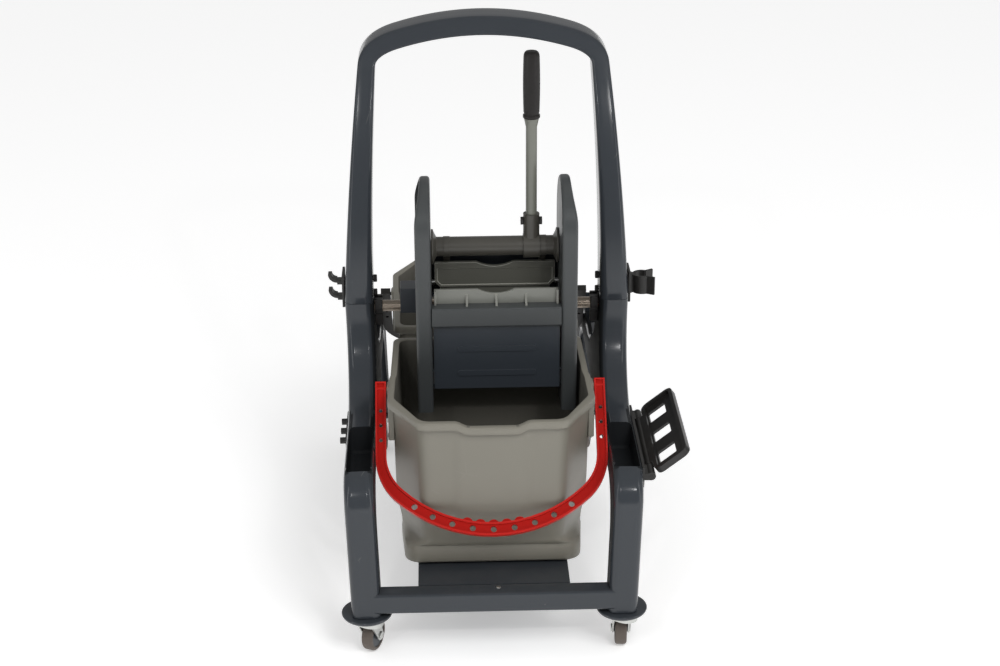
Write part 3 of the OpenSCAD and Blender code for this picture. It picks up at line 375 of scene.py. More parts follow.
# Finish, label, roughness, mottle, grain, bump, scuffs, dust and shine
PLASTICS = (
    ("slate", "Slate moulding", 0.17, 0.015, 520.0, 0.03, 0.12, 0.02, 0.4),
    # Painted shade: a darker, duller slate for the side frames' inner faces and trays
    ("slate_side_shade", "Slate inside painted shade", 0.5, 0.015, 520.0, 0.03, 0.0, 0.0, 0.05),
    ("wringer", "Wringer moulding", 0.38, 0.02, 700.0, 0.05, 0.06, 0.03, 0.5),
    ("shaft", "Shaft moulding", 0.36, 0.03, 700.0, 0.05, 0.06, 0.03, 0.5),
    ("skirt", "Skirt moulding", 0.34, 0.03, 600.0, 0.05, 0.06, 0.02, 0.5),
    # Painted light: a lighter grey than the press plate's own, against its shadow
    ("press", "Press plate moulding painted lighter", 0.42, 0.03, 700.0, 0.05, 0.06, 0.03, 0.5),
    # Painted highlight: a pale colour on the squeeze plates' rounded edges
    ("edge", "Plate edge highlight", 0.42, 0.03, 700.0, 0.05, 0.0, 0.0, 0.5),
    ("squeeze", "Squeeze plate moulding", 0.42, 0.03, 700.0, 0.05, 0.06, 0.03, 0.5),
    ("bucket", "Bucket moulding", 0.44, 0.02, 620.0, 0.07, 0.06, 0.02, 0.5),
    # Painted shade inside the buckets, darker and less glossy than the outside
    ("inside", "Bucket inside painted shade", 0.5, 0.03, 620.0, 0.07, 0.06, 0.02, 0.25),
    ("lever", "Lever paint", 0.32, 0.02, 800.0, 0.04, 0.10, 0.0, 0.5),
    ("grip", "Grip rubber", 0.44, 0.04, 900.0, 0.15, 0.08, 0.0, 0.35),
    ("front_bail", "Front bail moulding", 0.36, 0.02, 700.0, 0.06, 0.0, 0.0, 0.2),
    # Painted highlight on the front bail's rounded edges
    ("bail_edge_highlight", "Bail edge highlight", 0.34, 0.02, 700.0, 0.06, 0.0, 0.0, 0.25),
    # Painted shade in the front bail's groove
    ("bail_groove_shade", "Bail groove shade", 0.45, 0.02, 700.0, 0.06, 0.0, 0.0, 0.1),
    ("rear_bail", "Rear bail moulding", 0.40, 0.02, 700.0, 0.06, 0.0, 0.0, 0.5),
    ("black", "Black moulding", 0.42, 0.03, 750.0, 0.10, 0.08, 0.03, 0.5),
    ("foot", "Foot rubber", 0.7, 0.05, 800.0, 0.15, 0.0, 0.0, 0.5),
    ("tyre", "Tyre rubber", 0.58, 0.10, 500.0, 0.25, 0.25, 0.08, 0.5),
    ("hub", "Hub moulding", 0.45, 0.03, 700.0, 0.06, 0.15, 0.0, 0.5),
)

# Finish, label, roughness, stretch of the streaks, depth and bump
METALS = (
    ("zinc", "Zinc plate", 0.34, (90, 90, 90), 0.35, 0.15),
    ("tube", "Drawn tube", 0.30, (8, 500, 500), 0.25, 0.12),
)


def make_materials():
    """All the finishes, by name."""
    for make, rows in ((plastic, PLASTICS), (metal, METALS)):
        for finish, label, *values in rows:
            MATERIALS[finish] = make(label, getattr(finishes(), BORROWED.get(finish, finish)), *values)


# Mesh helpers


def add_object(name, data):
    """A new object in the scene."""
    item = bpy.data.objects.new(name, data)
    bpy.context.scene.collection.objects.link(item)
    return item


def new_piece(name, mesh, material, body, slot, *nodes):
    """Links a mesh as a piece that rides on a body and stands for CAD nodes."""
    piece = add_object(name, mesh)
    mesh.materials.clear()
    mesh.materials.append(MATERIALS[material])
    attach(piece, body)
    if nodes:
        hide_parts(*nodes)
    return piece


def smooth(mesh, angle):
    """The mesh, shaded smooth but for edges sharper than an angle in degrees."""
    mesh.shade_smooth()
    mesh.set_sharp_from_angle(angle=math.radians(angle))
    return mesh


def weighted(piece):
    piece.modifiers.new("Even normals", "WEIGHTED_NORMAL").keep_sharp = True


def finished(bm, name):
    """The mesh of a bmesh, which is freed."""
    mesh = bpy.data.meshes.new(name)
    bm.to_mesh(mesh)
    bm.free()
    return mesh


def loft(name, rings, caps=(True, True)):
    """Closed rings of equal length joined into one skin."""
    n = len(rings[0])
    points = [p for ring in rings for p in ring]
    faces = [(i * n + j, i * n + (j + 1) % n, (i + 1) * n + (j + 1) % n, (i + 1) * n + j)
             for i in range(len(rings) - 1) for j in range(n)]
    if caps[0]:
        faces.append(tuple(reversed(range(n))))
    if caps[1]:
        faces.append(tuple(range((len(rings) - 1) * n, len(rings) * n)))
    mesh = bpy.data.meshes.new(name)
    mesh.from_pydata(points, [], faces)
    bm = bmesh.new()
    bm.from_mesh(mesh)
    bmesh.ops.recalc_face_normals(bm, faces=bm.faces)
    bm.to_mesh(mesh)
    bm.free()
    return mesh


def arc(cx, cy, r, a, b, n):
    """Points of an arc about (cx, cy) from angle a to b in degrees."""
    steps = [math.radians(a + (b - a) * i / n) for i in range(n + 1)]
    return [(cx + r * math.cos(t), cy + r * math.sin(t)) for t in steps]


def rounded_section(w, d, r, n=6, straight=3):
    """Rounded rectangle about the origin, anticlockwise, with points along its straight sides."""
    r = min(r, w / 2, d / 2)
    points = []
    for sx, sy, a in ((1, 1, 0), (-1, 1, 90), (-1, -1, 180), (1, -1, 270)):
        points += arc(sx * (w / 2 - r), sy * (d / 2 - r), r, a, a + 90, n)
    dense = []
    for i, p in enumerate(points):
        q = points[(i + 1) % len(points)]
        dense.append(p)
        if i % (n + 1) == n:
            dense += [(p[0] + (q[0] - p[0]) * k / straight, p[1] + (q[1] - p[1]) * k / straight)
                      for k in range(1, straight)]
    return dense


def soften(node, material, width, segments=3, edge=None):
    """Keeps a CAD node, rounds its edges with modifiers and gives it its finish; an edge material paints a
    highlight on the rounded edges.
    """
    piece = NODES[node]
    piece.data.materials.clear()
    piece.data.materials.append(MATERIALS[material])
    bevel = rounded_edges(piece, width, segments)
    if edge:
        # The rounded edges take the painted highlight
        piece.data.materials.append(MATERIALS[edge])
        bevel.material = 1


def rounded_edges(piece, width, segments=3):
    """Modifiers that merge a solid's flat faces and round its edges."""
    piece.data.shade_smooth()
    weld = piece.modifiers.new("Weld", "WELD")
    weld.merge_threshold = WELD_GAP
    flat = piece.modifiers.new("Flat faces", "DECIMATE")
    flat.decimate_type = "DISSOLVE"
    flat.angle_limit = FLAT_ANGLE
    edge = piece.modifiers.new("Rounded edges", "BEVEL")
    edge.width = width
    edge.segments = segments
    edge.limit_method = "ANGLE"
    edge.angle_limit = EDGE_ANGLE
    weighted(piece)
    return edge


def lathe(name, profile, steps, place):
    """Skin of revolution about Z from [radius, z] points, moved by a matrix."""
    rings = []
    for r, z in profile:
        rings.append([place @ Vector((r * math.cos(t), r * math.sin(t), z))
                      for t in (2 * math.pi * k / steps for k in range(steps))])
    return loft(name, rings)


# Side frames and hoop


def frame_profile():
    """Outline of a side frame as [y, z] points: legs, shoulders and the upright."""
    front = LEG_D / 2 + AXLE_Y
    back = AXLE_Y - LEG_D / 2
    half = [(-UPRIGHT_D / 2, SEAM_Z + TRIM)]
    half += arc(-UPRIGHT_D / 2 - SWEEP_R, SHOULDER_Z + SWEEP_R, SWEEP_R, 0, -90, 20)
    half += arc(-front + SHOULDER_R, SHOULDER_Z - SHOULDER_R, SHOULDER_R, 90, 180, 14)
    half += [(-front, LEG_Z - TRIM), (-back, LEG_Z - TRIM)]
    half += arc(-back + ARCH_R, ARCH_Z - ARCH_R, ARCH_R, 180, 90, 14)
    return half + [(-y, z) for y, z in reversed(half)]


def tray_cutter(front_sign):
    """Rounded block that cuts one tray pocket, in the side frame's own frame."""
    y0 = AXLE_Y + LEG_D / 2 - TRAY_FRONT
    y1 = UPRIGHT_D / 2 + SWEEP_R + TRAY_BACK
    half_x = LEG_W / 2 - TRAY_WALL
    rings = []
    floor = SHOULDER_Z - TRAY_DEPTH
    for z, inset in ((floor, 0.006), (floor + 0.0015, 0.0025), (floor + 0.006, 0.0),
                     (SHOULDER_Z + TRIM, 0.0)):
        outline = rounded_section(2 * (half_x - inset), y0 - y1 - 2 * inset, TRAY_CORNER, 6, 2)
        rings.append([Vector((x, front_sign * ((y0 + y1) / 2 + y), z)) for x, y in outline])
    return loft("tray_cutter", rings)


def cut_away(mesh, cutters):
    """Mesh with each cutter taken out of it."""
    holder = add_object("cut_work", mesh)
    tools = [add_object("cut_tool", cutter) for cutter in cutters]
    for tool in tools:
        cut = holder.modifiers.new("Cut", "BOOLEAN")
        cut.operation = "DIFFERENCE"
        cut.solver = "EXACT"
        cut.object = tool
    bpy.context.view_layer.update()
    done = bpy.data.meshes.new_from_object(holder.evaluated_get(bpy.context.evaluated_depsgraph_get()))
    for item in [holder, *tools]:
        bpy.data.objects.remove(item)
    return done


def slice_off(bm, height, outward):
    """Cuts everything on one side of a level plane away and closes the cut."""
    bmesh.ops.bisect_plane(bm, geom=bm.verts[:] + bm.edges[:] + bm.faces[:], plane_co=(0, 0, height),
                           plane_no=(0, 0, outward), clear_outer=True, dist=1e-6)
    bmesh.ops.holes_fill(bm, edges=[e for e in bm.edges if e.is_boundary], sides=0)


def side_frame_mesh(name, mirrored):
    """One leaning side frame with rounded edges, trays and a narrow joint line at its top."""
    outline = frame_profile()
    bm = bmesh.new()
    sides = [[bm.verts.new((x, y, z)) for y, z in outline] for x in (-LEG_W / 2, LEG_W / 2)]
    caps = [bm.faces.new(side) for side in sides]
    n = len(outline)
    for i in range(n):
        bm.faces.new((sides[0][i], sides[0][(i + 1) % n], sides[1][(i + 1) % n], sides[1][i]))
    bmesh.ops.recalc_face_normals(bm, faces=bm.faces)
    rim = {e for cap in caps for e in cap.edges}
    bmesh.ops.bevel(bm, geom=list(rim), offset=forms().frame_round, segments=5, profile=0.5, affect="EDGES")
    block = cut_away(finished(bm, name), [tray_cutter(-1), tray_cutter(1)])
    lean = (Matrix.Translation((LEG_X, 0, LEG_Z)) @ Matrix.Rotation(LEAN, 4, "Y")
            @ Matrix.Translation((0, 0, -LEG_Z)))
    bm = bmesh.new()
    bm.from_mesh(block)
    bm.transform(lean)
    slice_off(bm, LEG_Z, -1)
    slice_off(bm, SEAM_Z, 1)
    for height, offset, segments in ((SEAM_Z, SEAM_EDGE, 2), (LEG_Z, forms().foot_round, 4)):
        border = [e for e in bm.edges if all(abs(v.co.z - height) < 1e-5 for v in e.verts)
                  and any(abs(f.normal.z) < 0.9 for f in e.link_faces)]
        bmesh.ops.bevel(bm, geom=border, offset=offset, segments=segments, profile=0.5, affect="EDGES")
    bmesh.ops.recalc_face_normals(bm, faces=bm.faces)
    if mirrored:
        bm.transform(Matrix.Scale(-1, 4, (1, 0, 0)))
        bmesh.ops.reverse_faces(bm, faces=bm.faces)
    return smooth(finished(bm, name), 38)


def paint_side_shade(mesh):
    """Paints shade on a side frame's inner face, the sweep's inner rounding and the trays with a darker,
    duller slate.
    """
    mesh.materials.append(MATERIALS["slate_side_shade"])
    pocket = LEG_W / 2 - TRAY_WALL + 0.0006
    for face in mesh.polygons:
        x, y, z = face.center
        middle = LEG_X + (z - LEG_Z) * math.tan(LEAN)
        in_tray = (SHOULDER_Z - TRAY_DEPTH - 0.002 < z < SHOULDER_Z - 0.0008
                   and abs(abs(x) - middle) < pocket and abs(y) < AXLE_Y - LEG_D / 4)
        inward = -face.normal.x if x > 0 else face.normal.x
        if in_tray or inward > (0.6 if SHOULDER_Z < z < SEAM_Z - 0.001 else 0.97):
            face.material_index = 1


def beam_mesh(node):
    """A cross beam whose ends run on into the legs, flush with their faces."""
    low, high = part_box(node)
    outline = rounded_section(high.y - low.y - BEAM_AIR, high.z - low.z, BEAM_EDGE, 5, 2)
    middle = (low + high) / 2
    reach = high.x + LEG_W / 3
    rings = [[(x, middle.y + y, middle.z + z) for y, z in outline] for x in (-reach, reach)]
    return smooth(loft(f"{node}_bar", rings), 38)


def bumper_mesh():
    """The four bumper discs, each with a bowl-shaped underside."""
    low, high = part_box("corner_bumpers")
    r = high.x - LEG_X
    profile = [(0.001, low.z), (r - 0.007, low.z)]
    profile += arc(r - BUMPER_BOWL, low.z + BUMPER_BOWL, BUMPER_BOWL, -70, 0, 6)
    profile += arc(r - BUMPER_LIP, high.z - BUMPER_LIP, BUMPER_LIP, 0, 90, 4)
    profile.append((0.001, high.z))
    bm = bmesh.new()
    for x in (-LEG_X, LEG_X):
        for y in (-AXLE_Y, AXLE_Y):
            bm.from_mesh(lathe("corner_bumper", profile, 64, Matrix.Translation((x, y, 0))))
    return smooth(finished(bm, "corner_bumper_discs"), 40)


def hoop_path():
    """Middle line of the hoop as [u, v] points, from the right seam over the top to the left seam."""
    seam_x = LEG_X + (SEAM_Z - LEG_Z) * math.tan(LEAN)
    side_v, bar_u = HOOP_H - HOOP_CORNER_DROP, seam_x - HOOP_CORNER_IN
    bar_v = HOOP_H - HOOP_TOP_W / 2
    lean = math.tan(HOOP_LEAN)

    def side(v):
        return Vector((seam_x - v * lean - HOOP_SIDE_BOW * (v / side_v) ** 2, v))

    def bar(u):
        return Vector((u, bar_v - HOOP_CROWN * (u / bar_u) ** 2))

    p, e = side(side_v), bar(bar_u)
    slope_p, slope_e = -lean - 2 * HOOP_SIDE_BOW / side_v, -2 * HOOP_CROWN / bar_u
    v = (e[1] + slope_e * (p[0] - slope_p * p[1] - e[0])) / (1 - slope_e * slope_p)
    c = Vector((p[0] + slope_p * (v - p[1]), v))
    half = [side(side_v * i / 26) for i in range(26)]
    half += [(1 - t) ** 2 * p + 2 * t * (1 - t) * c + t * t * e for t in (i / 18 for i in range(18))]
    half += [bar(bar_u * (1 - i / 12)) for i in range(12)]
    return half + [Vector((0, bar_v))] + [Vector((-q[0], q[1])) for q in reversed(half)], side_v


def hoop_mesh():
    """The push hoop: a rounded section that narrows towards the crowned top bar."""
    path, side_v = hoop_path()
    last = len(path) - 1

    def ring(i, shrink=0.0, lift=0.0):
        p = path[i]
        along = Vector((0, 1)) if i == 0 else Vector((0, -1)) if i == last else (path[i + 1] - path[i - 1])
        along.normalize()
        across = Vector((along[1], -along[0]))
        k = min(1.0, p[1] / side_v)
        w = LEG_W + (HOOP_TOP_W - LEG_W) * k - shrink
        d = UPRIGHT_D + (HOOP_TOP_D - UPRIGHT_D) * k - shrink
        points = []
        for a, b in rounded_section(w, d, forms().hoop_round * (1 - forms().hoop_sharper * k)):
            q = p + across * a
            v = max(0.0, q[1]) + lift
            points.append((q[0], b + HOOP_SETBACK * (v / HOOP_H) ** 2, SEAM_Z + v))
        return points

    rings = [ring(0, 2 * SEAM_EDGE), ring(0, 0.0, SEAM_EDGE)]
    rings += [ring(i) for i in range(1, last)]
    rings += [ring(last, 0.0, SEAM_EDGE), ring(last, 2 * SEAM_EDGE)]
    return smooth(loft("push_hoop_shell", rings), 50)


# Buckets


def smoothstep(a, b, x):
    t = min(1.0, max(0.0, (x - a) / (b - a)))
    return t * t * (3 - 2 * t)


def round_corner(p, a, b, r, n):
    """Points of the arc that rounds corner p between its neighbours a and b."""
    u, w = (a - p).normalized(), (b - p).normalized()
    half = math.acos(max(-1, min(1, u.dot(w)))) / 2
    c = p + (u + w).normalized() * (r / math.sin(half))
    s, e = p + u * (r / math.tan(half)) - c, p + w * (r / math.tan(half)) - c
    a0, a1 = math.atan2(s.y, s.x), math.atan2(e.y, e.x)
    turn = (a1 - a0 + math.pi) % (2 * math.pi) - math.pi
    return [c + Vector((math.cos(a0 + turn * i / n), math.sin(a0 + turn * i / n))) * r for i in range(n + 1)]


def rim_outline(d, front=0.0, lip=LIP_HALF):
    """Plan outline of the front bucket drawn in by d, with points along each edge."""
    y0, y1 = -BUCKET_GAP - d, -BUCKET_GAP - BUCKET_L + d + front
    yt = y1 + LIP_TAPER
    corners = [Vector(c) for c in (
        (RIM_REAR_HALF - d, y0), (-RIM_REAR_HALF + d, y0), (-RIM_HALF + d, yt),
        (-lip + d * LIP_SHARE, y1), (lip - d * LIP_SHARE, y1), (RIM_HALF - d, yt))]
    radii = (0.014, 0.014, 0.020, 0.022, 0.022, 0.020)
    steps = (16, 22, 5, 44, 5, 22)
    rounded = [round_corner(corners[i], corners[i - 1], corners[(i + 1) % 6], radii[i], 7) for i in range(6)]
    points = []
    for i in range(6):
        points += rounded[i]
        a, b = rounded[i][-1], rounded[(i + 1) % 6][0]
        points += [a.lerp(b, k / steps[i]) for k in range(1, steps[i])]
    return points


def wall_inset(z):
    """Draw-in of the outer wall at a height, and the extra draw-in of the front."""
    k = (RIM_Z - z) / (RIM_Z - BUCKET_Z)
    return RIM_IN + k * (BUCKET_DRAFT - RIM_IN), k * (LIP_DRAFT - BUCKET_DRAFT)


def bucket_mesh(name):
    """One bucket: rolled rim with a pouring dip, panelled walls, a plinth and a hollow inside."""
    form = forms()
    lip_y = -BUCKET_GAP - BUCKET_L

    def ring(z, inset, front=0.0, dips=0.0, panel=0.0, lip=LIP_HALF):
        points = []
        for q in rim_outline(inset, front, lip):
            on_lip = 1.0 if q.y < lip_y + inset + front + 0.002 else 0.0
            bend = smoothstep(form.spout_half, form.spout_half - 0.022, abs(q.x))
            step = smoothstep(PANEL_HALF, PANEL_HALF - PANEL_STEP, abs(q.x)) * on_lip
            side = math.copysign(form.rim_step, q.x) * smoothstep(0.115, 0.135, abs(q.x))
            x = q.x - side * smoothstep(-PIVOT_Y + EAR_D - 0.006, -PIVOT_Y + EAR_D + 0.002, q.y)
            points.append((x, q.y - panel * step, z - dips * on_lip * bend * form.spout_dip))
        return points

    inner = RIM_IN + form.bucket_wall
    rings = [ring(RIM_Z - RIM_BAND * 2.2, *inner_wall(RIM_Z - RIM_BAND * 2.2)),
             ring(RIM_Z - 0.0012, inner, 0, 1), ring(RIM_Z - 0.0003, inner - 0.0006, 0, 1),
             ring(RIM_Z, inner - 0.0018, 0, 1), ring(RIM_Z, 0.0022, 0, 1), ring(RIM_Z - 0.0006, 0.0008, 0, 1),
             ring(RIM_Z - 0.002, 0.0, 0, 1), ring(RIM_Z - RIM_BAND + 0.001, 0.0, 0, 1),
             ring(RIM_Z - RIM_BAND, 0.0008, 0, 1), ring(RIM_Z - RIM_BAND, RIM_IN - 0.0016, 0, 1)]
    heights = (RIM_Z - RIM_BAND - 0.002, 0.352, 0.34, 0.32, 0.30, 0.28, 0.26, 0.24, 0.22, 0.208, 0.200, 0.192,
               0.182, 0.176, PLINTH_TOP + PLINTH_SLOPE, 0.158, CREASE_LOW)
    square_lip = RIM_HALF - PLINTH_TAPER - BUCKET_DRAFT * (1 - LIP_SHARE)
    for z in heights:
        inset, front = wall_inset(z)
        swell = form.belly * (smoothstep(BELLY_TOP, BELLY_LOW, z)
                              - CREASE_DEPTH * smoothstep(CREASE_TOP, CREASE_LOW, z))
        panel = (form.panel_rise * smoothstep(PANEL_TOP, PANEL_TOP - PANEL_TOP_FADE, z)
                 * smoothstep(PANEL_LOW, PANEL_LOW + PANEL_LOW_FADE, z))
        lip = LIP_HALF + (square_lip - LIP_HALF) * smoothstep(PLINTH_TOP + PLINTH_SLOPE, PLINTH_TOP, z)
        rings.append(ring(z, inset - swell, front, smoothstep(SPOUT_LOW, PANEL_TOP, z), panel, lip))
    base_in, base_front = wall_inset(BUCKET_Z)
    for z, inset in ((PLINTH_TOP + 0.006, 0.0024), (PLINTH_TOP + 0.003, 0.0008), (PLINTH_TOP, 0.0),
                     (BUCKET_Z + 0.014, 0.0)):
        rings.append(ring(z, base_in + inset, base_front, lip=square_lip))
    for t in (15, 30, 45, 60, 75, 90):
        turn = math.radians(t)
        z = BUCKET_Z + form.base_round * (1 - math.sin(turn))
        rings.append(ring(z, base_in + form.base_round * (1 - math.cos(turn)), base_front, lip=square_lip))
    rings.append(ring(BUCKET_Z, base_in + 0.05, base_front, lip=square_lip))
    outer = loft(name, rings, (False, True))
    floor_z = BUCKET_Z + form.bucket_wall
    hollow = [ring(RIM_Z - RIM_BAND * 2.2, *inner_wall(RIM_Z - RIM_BAND * 2.2))]
    hollow += [ring(z, *inner_wall(z)) for z in (0.32, 0.28, 0.24, 0.20, 0.16, floor_z + 0.012)]
    low_in, low_front = inner_wall(floor_z)
    for t in (30, 60, 90):
        turn = math.radians(t)
        z = floor_z + form.base_round * (1 - math.sin(turn))
        hollow.append(ring(z, low_in + form.base_round * (1 - math.cos(turn)), low_front))
    hollow.append(ring(floor_z, low_in + 0.05, low_front))
    inside = loft("bucket_inside", hollow, (False, True))
    bm = bmesh.new()
    bm.from_mesh(outer)
    bm.from_mesh(inside)
    bmesh.ops.remove_doubles(bm, verts=bm.verts, dist=1e-6)
    add_ears(bm)
    bmesh.ops.recalc_face_normals(bm, faces=bm.faces)
    bm.to_mesh(outer)
    bm.free()
    return smooth(outer, 40)


def inner_wall(z):
    """Draw-in of the inner wall at a height; it stays clear of the crease above the plinth."""
    inset, front = wall_inset(z)
    return inset + forms().bucket_wall + INNER_CLEAR * smoothstep(INNER_TOP, INNER_LOW, z), front


def add_block(bm, low, high, rounding):
    """A block with rounded edges between two corners."""
    low, high = Vector(low), Vector(high)
    made = bmesh.ops.create_cube(bm, size=1.0)["verts"]
    bmesh.ops.transform(bm, matrix=Matrix.Translation((low + high) / 2) @ Matrix.Diagonal((*(high - low), 1)),
                        verts=made)
    edges = {e for v in made for e in v.link_edges}
    bmesh.ops.bevel(bm, geom=list(edges), offset=rounding, segments=4, profile=0.5, affect="EDGES")


def add_ears(bm):
    """Aprons below the rim on both sides, and the bosses on them that carry the bail's pins."""
    for s in (-1, 1):
        x0, x1 = sorted((s * (RIM_HALF - 0.0098), s * (RIM_HALF - 0.0004)))
        add_block(bm, (x0, -PIVOT_Y - APRON_FRONT, RIM_Z - APRON_DROP),
                  (x1, -PIVOT_Y + EAR_D, RIM_Z - RIM_BAND / 2), 0.002)
        x0, x1 = sorted((s * (RIM_HALF - 0.009), s * (RIM_HALF + EAR_OUT)))
        add_block(bm, (x0, -PIVOT_Y - EAR_D / 2, PIVOT_Z - EAR_D / 2),
                  (x1, -PIVOT_Y + EAR_D / 2, RIM_Z - 0.002), 0.0035)


def paint_inside_shade(mesh, middle_y):
    """Paints shade on a bucket's inner walls and floor with a darker copy of the bucket's grey."""
    mesh.materials.append(MATERIALS["inside"])
    for face in mesh.polygons:
        x, y, z = face.center
        outward = face.normal.x * x + face.normal.y * (y - middle_y)
        on_floor = face.normal.z > 0.95 and z < BUCKET_Z + 0.012
        if on_floor or (outward < -0.005 and z < RIM_Z - 0.0065):
            face.material_index = 1


# Operators: one for each group of like pieces


class TROLLEY_OT_frame(bpy.types.Operator):
    """Side frames, base beams, spine, bumpers and the cross tube with its clips"""

    bl_idname = "trolley.frame"
    bl_label = "Frame and Base"

    def execute(self, context):
        for side in ("left", "right"):
            mesh = side_frame_mesh(f"{side}_side_shell", side == "left")
            weighted(new_piece(f"{side}_side_shell", mesh, "slate", "frame", "frame_slate",
                               f"{side}_side_frame"))
            # Painted shade on the frame's inner faces and trays
            paint_side_shade(mesh)
        for node in ("front_beam", "rear_beam"):
            new_piece(f"{node}_bar", beam_mesh(node), "slate", "frame", "frame_slate", node)
        new_piece("corner_bumper_discs", bumper_mesh(), "slate", "frame", "dark_plastic", "corner_bumpers")
        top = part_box("front_beam")[1]
        place = Matrix.Translation((SCREW_X, top.y - SCREW_IN, top.z - SCREW_SINK))
        new_piece("beam_screw", lathe("beam_screw", SCREW_PROFILE, 24, place), "zinc", "frame", "steel")
        soften("base_spine", "slate", 0.002)
        soften("cross_tube", "tube", THIN_EDGE, 2)
        soften("tube_clips", "black", 0.0009)
        return {"FINISHED"}


class TROLLEY_OT_hoop(bpy.types.Operator):
    """Push hoop"""

    bl_idname = "trolley.hoop"
    bl_label = "Push Hoop"

    def execute(self, context):
        new_piece("push_hoop_shell", hoop_mesh(), "slate", "frame", "frame_slate", "push_hoop")
        return {"FINISHED"}


class TROLLEY_OT_buckets(bpy.types.Operator):
    """Both buckets with their pins and feet"""

    bl_idname = "trolley.buckets"
    bl_label = "Buckets"

    def execute(self, context):
        middle = BUCKET_GAP + BUCKET_L / 2
        for end, body, middle_y in (("front", "frame", -middle), ("rear", "rear_bucket", middle)):
            mesh = bucket_mesh(f"{end}_bucket_shell")
            if end == "rear":
                mesh.transform(Matrix.Rotation(math.pi, 4, "Z"))
            new_piece(f"{end}_bucket_shell", mesh, "bucket", body, "bucket_grey", f"{end}_bucket")
            # Painted shade on the bucket's inner walls and floor
            paint_inside_shade(mesh, middle_y)
            soften(f"{end}_bucket_pins", f"{end}_bail", FINE_EDGE, 2)
            soften(f"{end}_bucket_feet", "foot", 0.001, 2)
        return {"FINISHED"}


def paint_groove_shade(mesh):
    """Paints shade on the floor of the hanging front bail's groove with a darker red."""
    mesh.materials.append(MATERIALS["bail_groove_shade"])
    out = Vector((0, -math.cos(BAIL_ANGLE), math.sin(BAIL_ANGLE)))
    pivot = Vector((0, -PIVOT_Y, PIVOT_Z))
    for face in mesh.polygons:
        if face.normal.dot(out) > 0.95 and 0.0005 < (face.center - pivot).dot(out) < 0.0035:
            face.material_index = 2


class TROLLEY_OT_bails(bpy.types.Operator):
    """Both bails"""

    bl_idname = "trolley.bails"
    bl_label = "Bails"

    def execute(self, context):
        # Painted highlight on the front bail's rounded edges
        soften("front_bail", "front_bail", 0.0011, 2, edge="bail_edge_highlight")
        # Painted shade in the front bail's groove
        paint_groove_shade(NODES["front_bail"].data)
        soften("rear_bail", "rear_bail", 0.0008, 2)
        return {"FINISHED"}


def plate_mesh(node):
    """A wringer plate with a rounded rim, whose outer face leans in towards its round top."""
    bm = bmesh.new()
    bm.from_mesh(NODES[node].data)
    bmesh.ops.remove_doubles(bm, verts=bm.verts, dist=WELD_GAP)
    bmesh.ops.dissolve_limit(bm, angle_limit=FLAT_ANGLE, verts=bm.verts, edges=bm.edges)
    low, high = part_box(node)
    radius = (high.y - low.y) / 2
    head = Vector((0, low.y + radius, high.z - radius))

    def on_rim(co):
        on_arc = co.z > head.z - 1e-4 and abs((co - head).yz.length - radius) < 1e-4
        return on_arc or abs(co.y - low.y) < 1e-4

    rim = [e for e in bm.edges if all(on_rim(v.co) for v in e.verts) and len(e.link_faces) == 2
           and e.calc_face_angle() > 1.0 and abs(e.verts[0].co.x - e.verts[1].co.x) < 1e-5]
    bmesh.ops.bevel(bm, geom=rim, offset=forms().plate_round, segments=6, profile=0.5, affect="EDGES")
    outer = max(abs(low.x - WRINGER_X), abs(high.x - WRINGER_X))
    for vertex in bm.verts:
        away = vertex.co.x - WRINGER_X
        lean = PLATE_LEAN * smoothstep(high.z - PLATE_LEAN_H, high.z, vertex.co.z)
        vertex.co.x -= math.copysign(lean * smoothstep(outer - 0.016, outer - 0.004, abs(away)), away)
    return finished(bm, f"{node}_shell")


def crank_mesh():
    """The cranks with thin rings that lie close on the shaft."""
    mesh = NODES["press_cranks"].data.copy()
    low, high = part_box("press_shaft")
    y, z = (low.y + high.y) / 2, (low.z + high.z) / 2
    for vertex in mesh.vertices:
        out = Vector((vertex.co.y - y, vertex.co.z - z))
        if SHAFT_R + CRANK_RING < out.length < SHAFT_R + CRANK_RING_CAD:
            out *= (SHAFT_R + CRANK_RING) / out.length
            vertex.co.y, vertex.co.z = y + out.x, z + out.y
    return mesh


class TROLLEY_OT_wringer(bpy.types.Operator):
    """Wringer plates, beam, skirt, squeeze plate, tie, drip floor and hooks"""

    bl_idname = "trolley.wringer"
    bl_label = "Wringer"

    def execute(self, context):
        for side in ("left", "right"):
            node = f"wringer_{side}_plate"
            piece = new_piece(f"{node}_shell", plate_mesh(node), "wringer", "wringer", "wringer_grey", node)
            rounded_edges(piece, 0.0008, 2)
        soften("wringer_beam", "wringer", 0.0012)
        soften("wringer_skirt", "skirt", 0.0008)
        # Painted highlight on the fixed plate's rounded edges
        soften("wringer_fixed_plate", "squeeze", 0.0010, 2, edge="edge")
        for node in ("wringer_rear_tie", "wringer_strainer", "wringer_hooks"):
            soften(node, "skirt", 0.001)
        return {"FINISHED"}


def grip_mesh():
    """Moulded grip with an end ring, a slight swell and a rounded tip."""
    low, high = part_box("lever_grip")
    middle = (low + high) / 2
    span_z = high.z - low.z
    r = (high.x - low.x) / 2
    profile = [(0.004, 0.0), (r * 0.90, 0.0), (r * 0.98, 0.0008), (r, 0.0022), (r, 0.0044),
               (r * 0.97, 0.0056), (r * 0.89, 0.0066), (r * 0.88, 0.0082), (r * 0.93, 0.0098)]
    profile += [(r * (0.93 + 0.06 * math.sin(math.pi * k / 12)), 0.0098 + (span_z - 0.0178) * k / 12)
                for k in range(1, 13)]
    profile += [(r * 0.90, span_z - 0.0052), (r * 0.80, span_z - 0.0022), (r * 0.66, span_z - 0.0006),
                (r * 0.5, span_z), (0.001, span_z)]
    place = Matrix.Translation((middle.x, middle.y, low.z))
    return smooth(lathe("lever_grip_sleeve", profile, 40, place), 60)


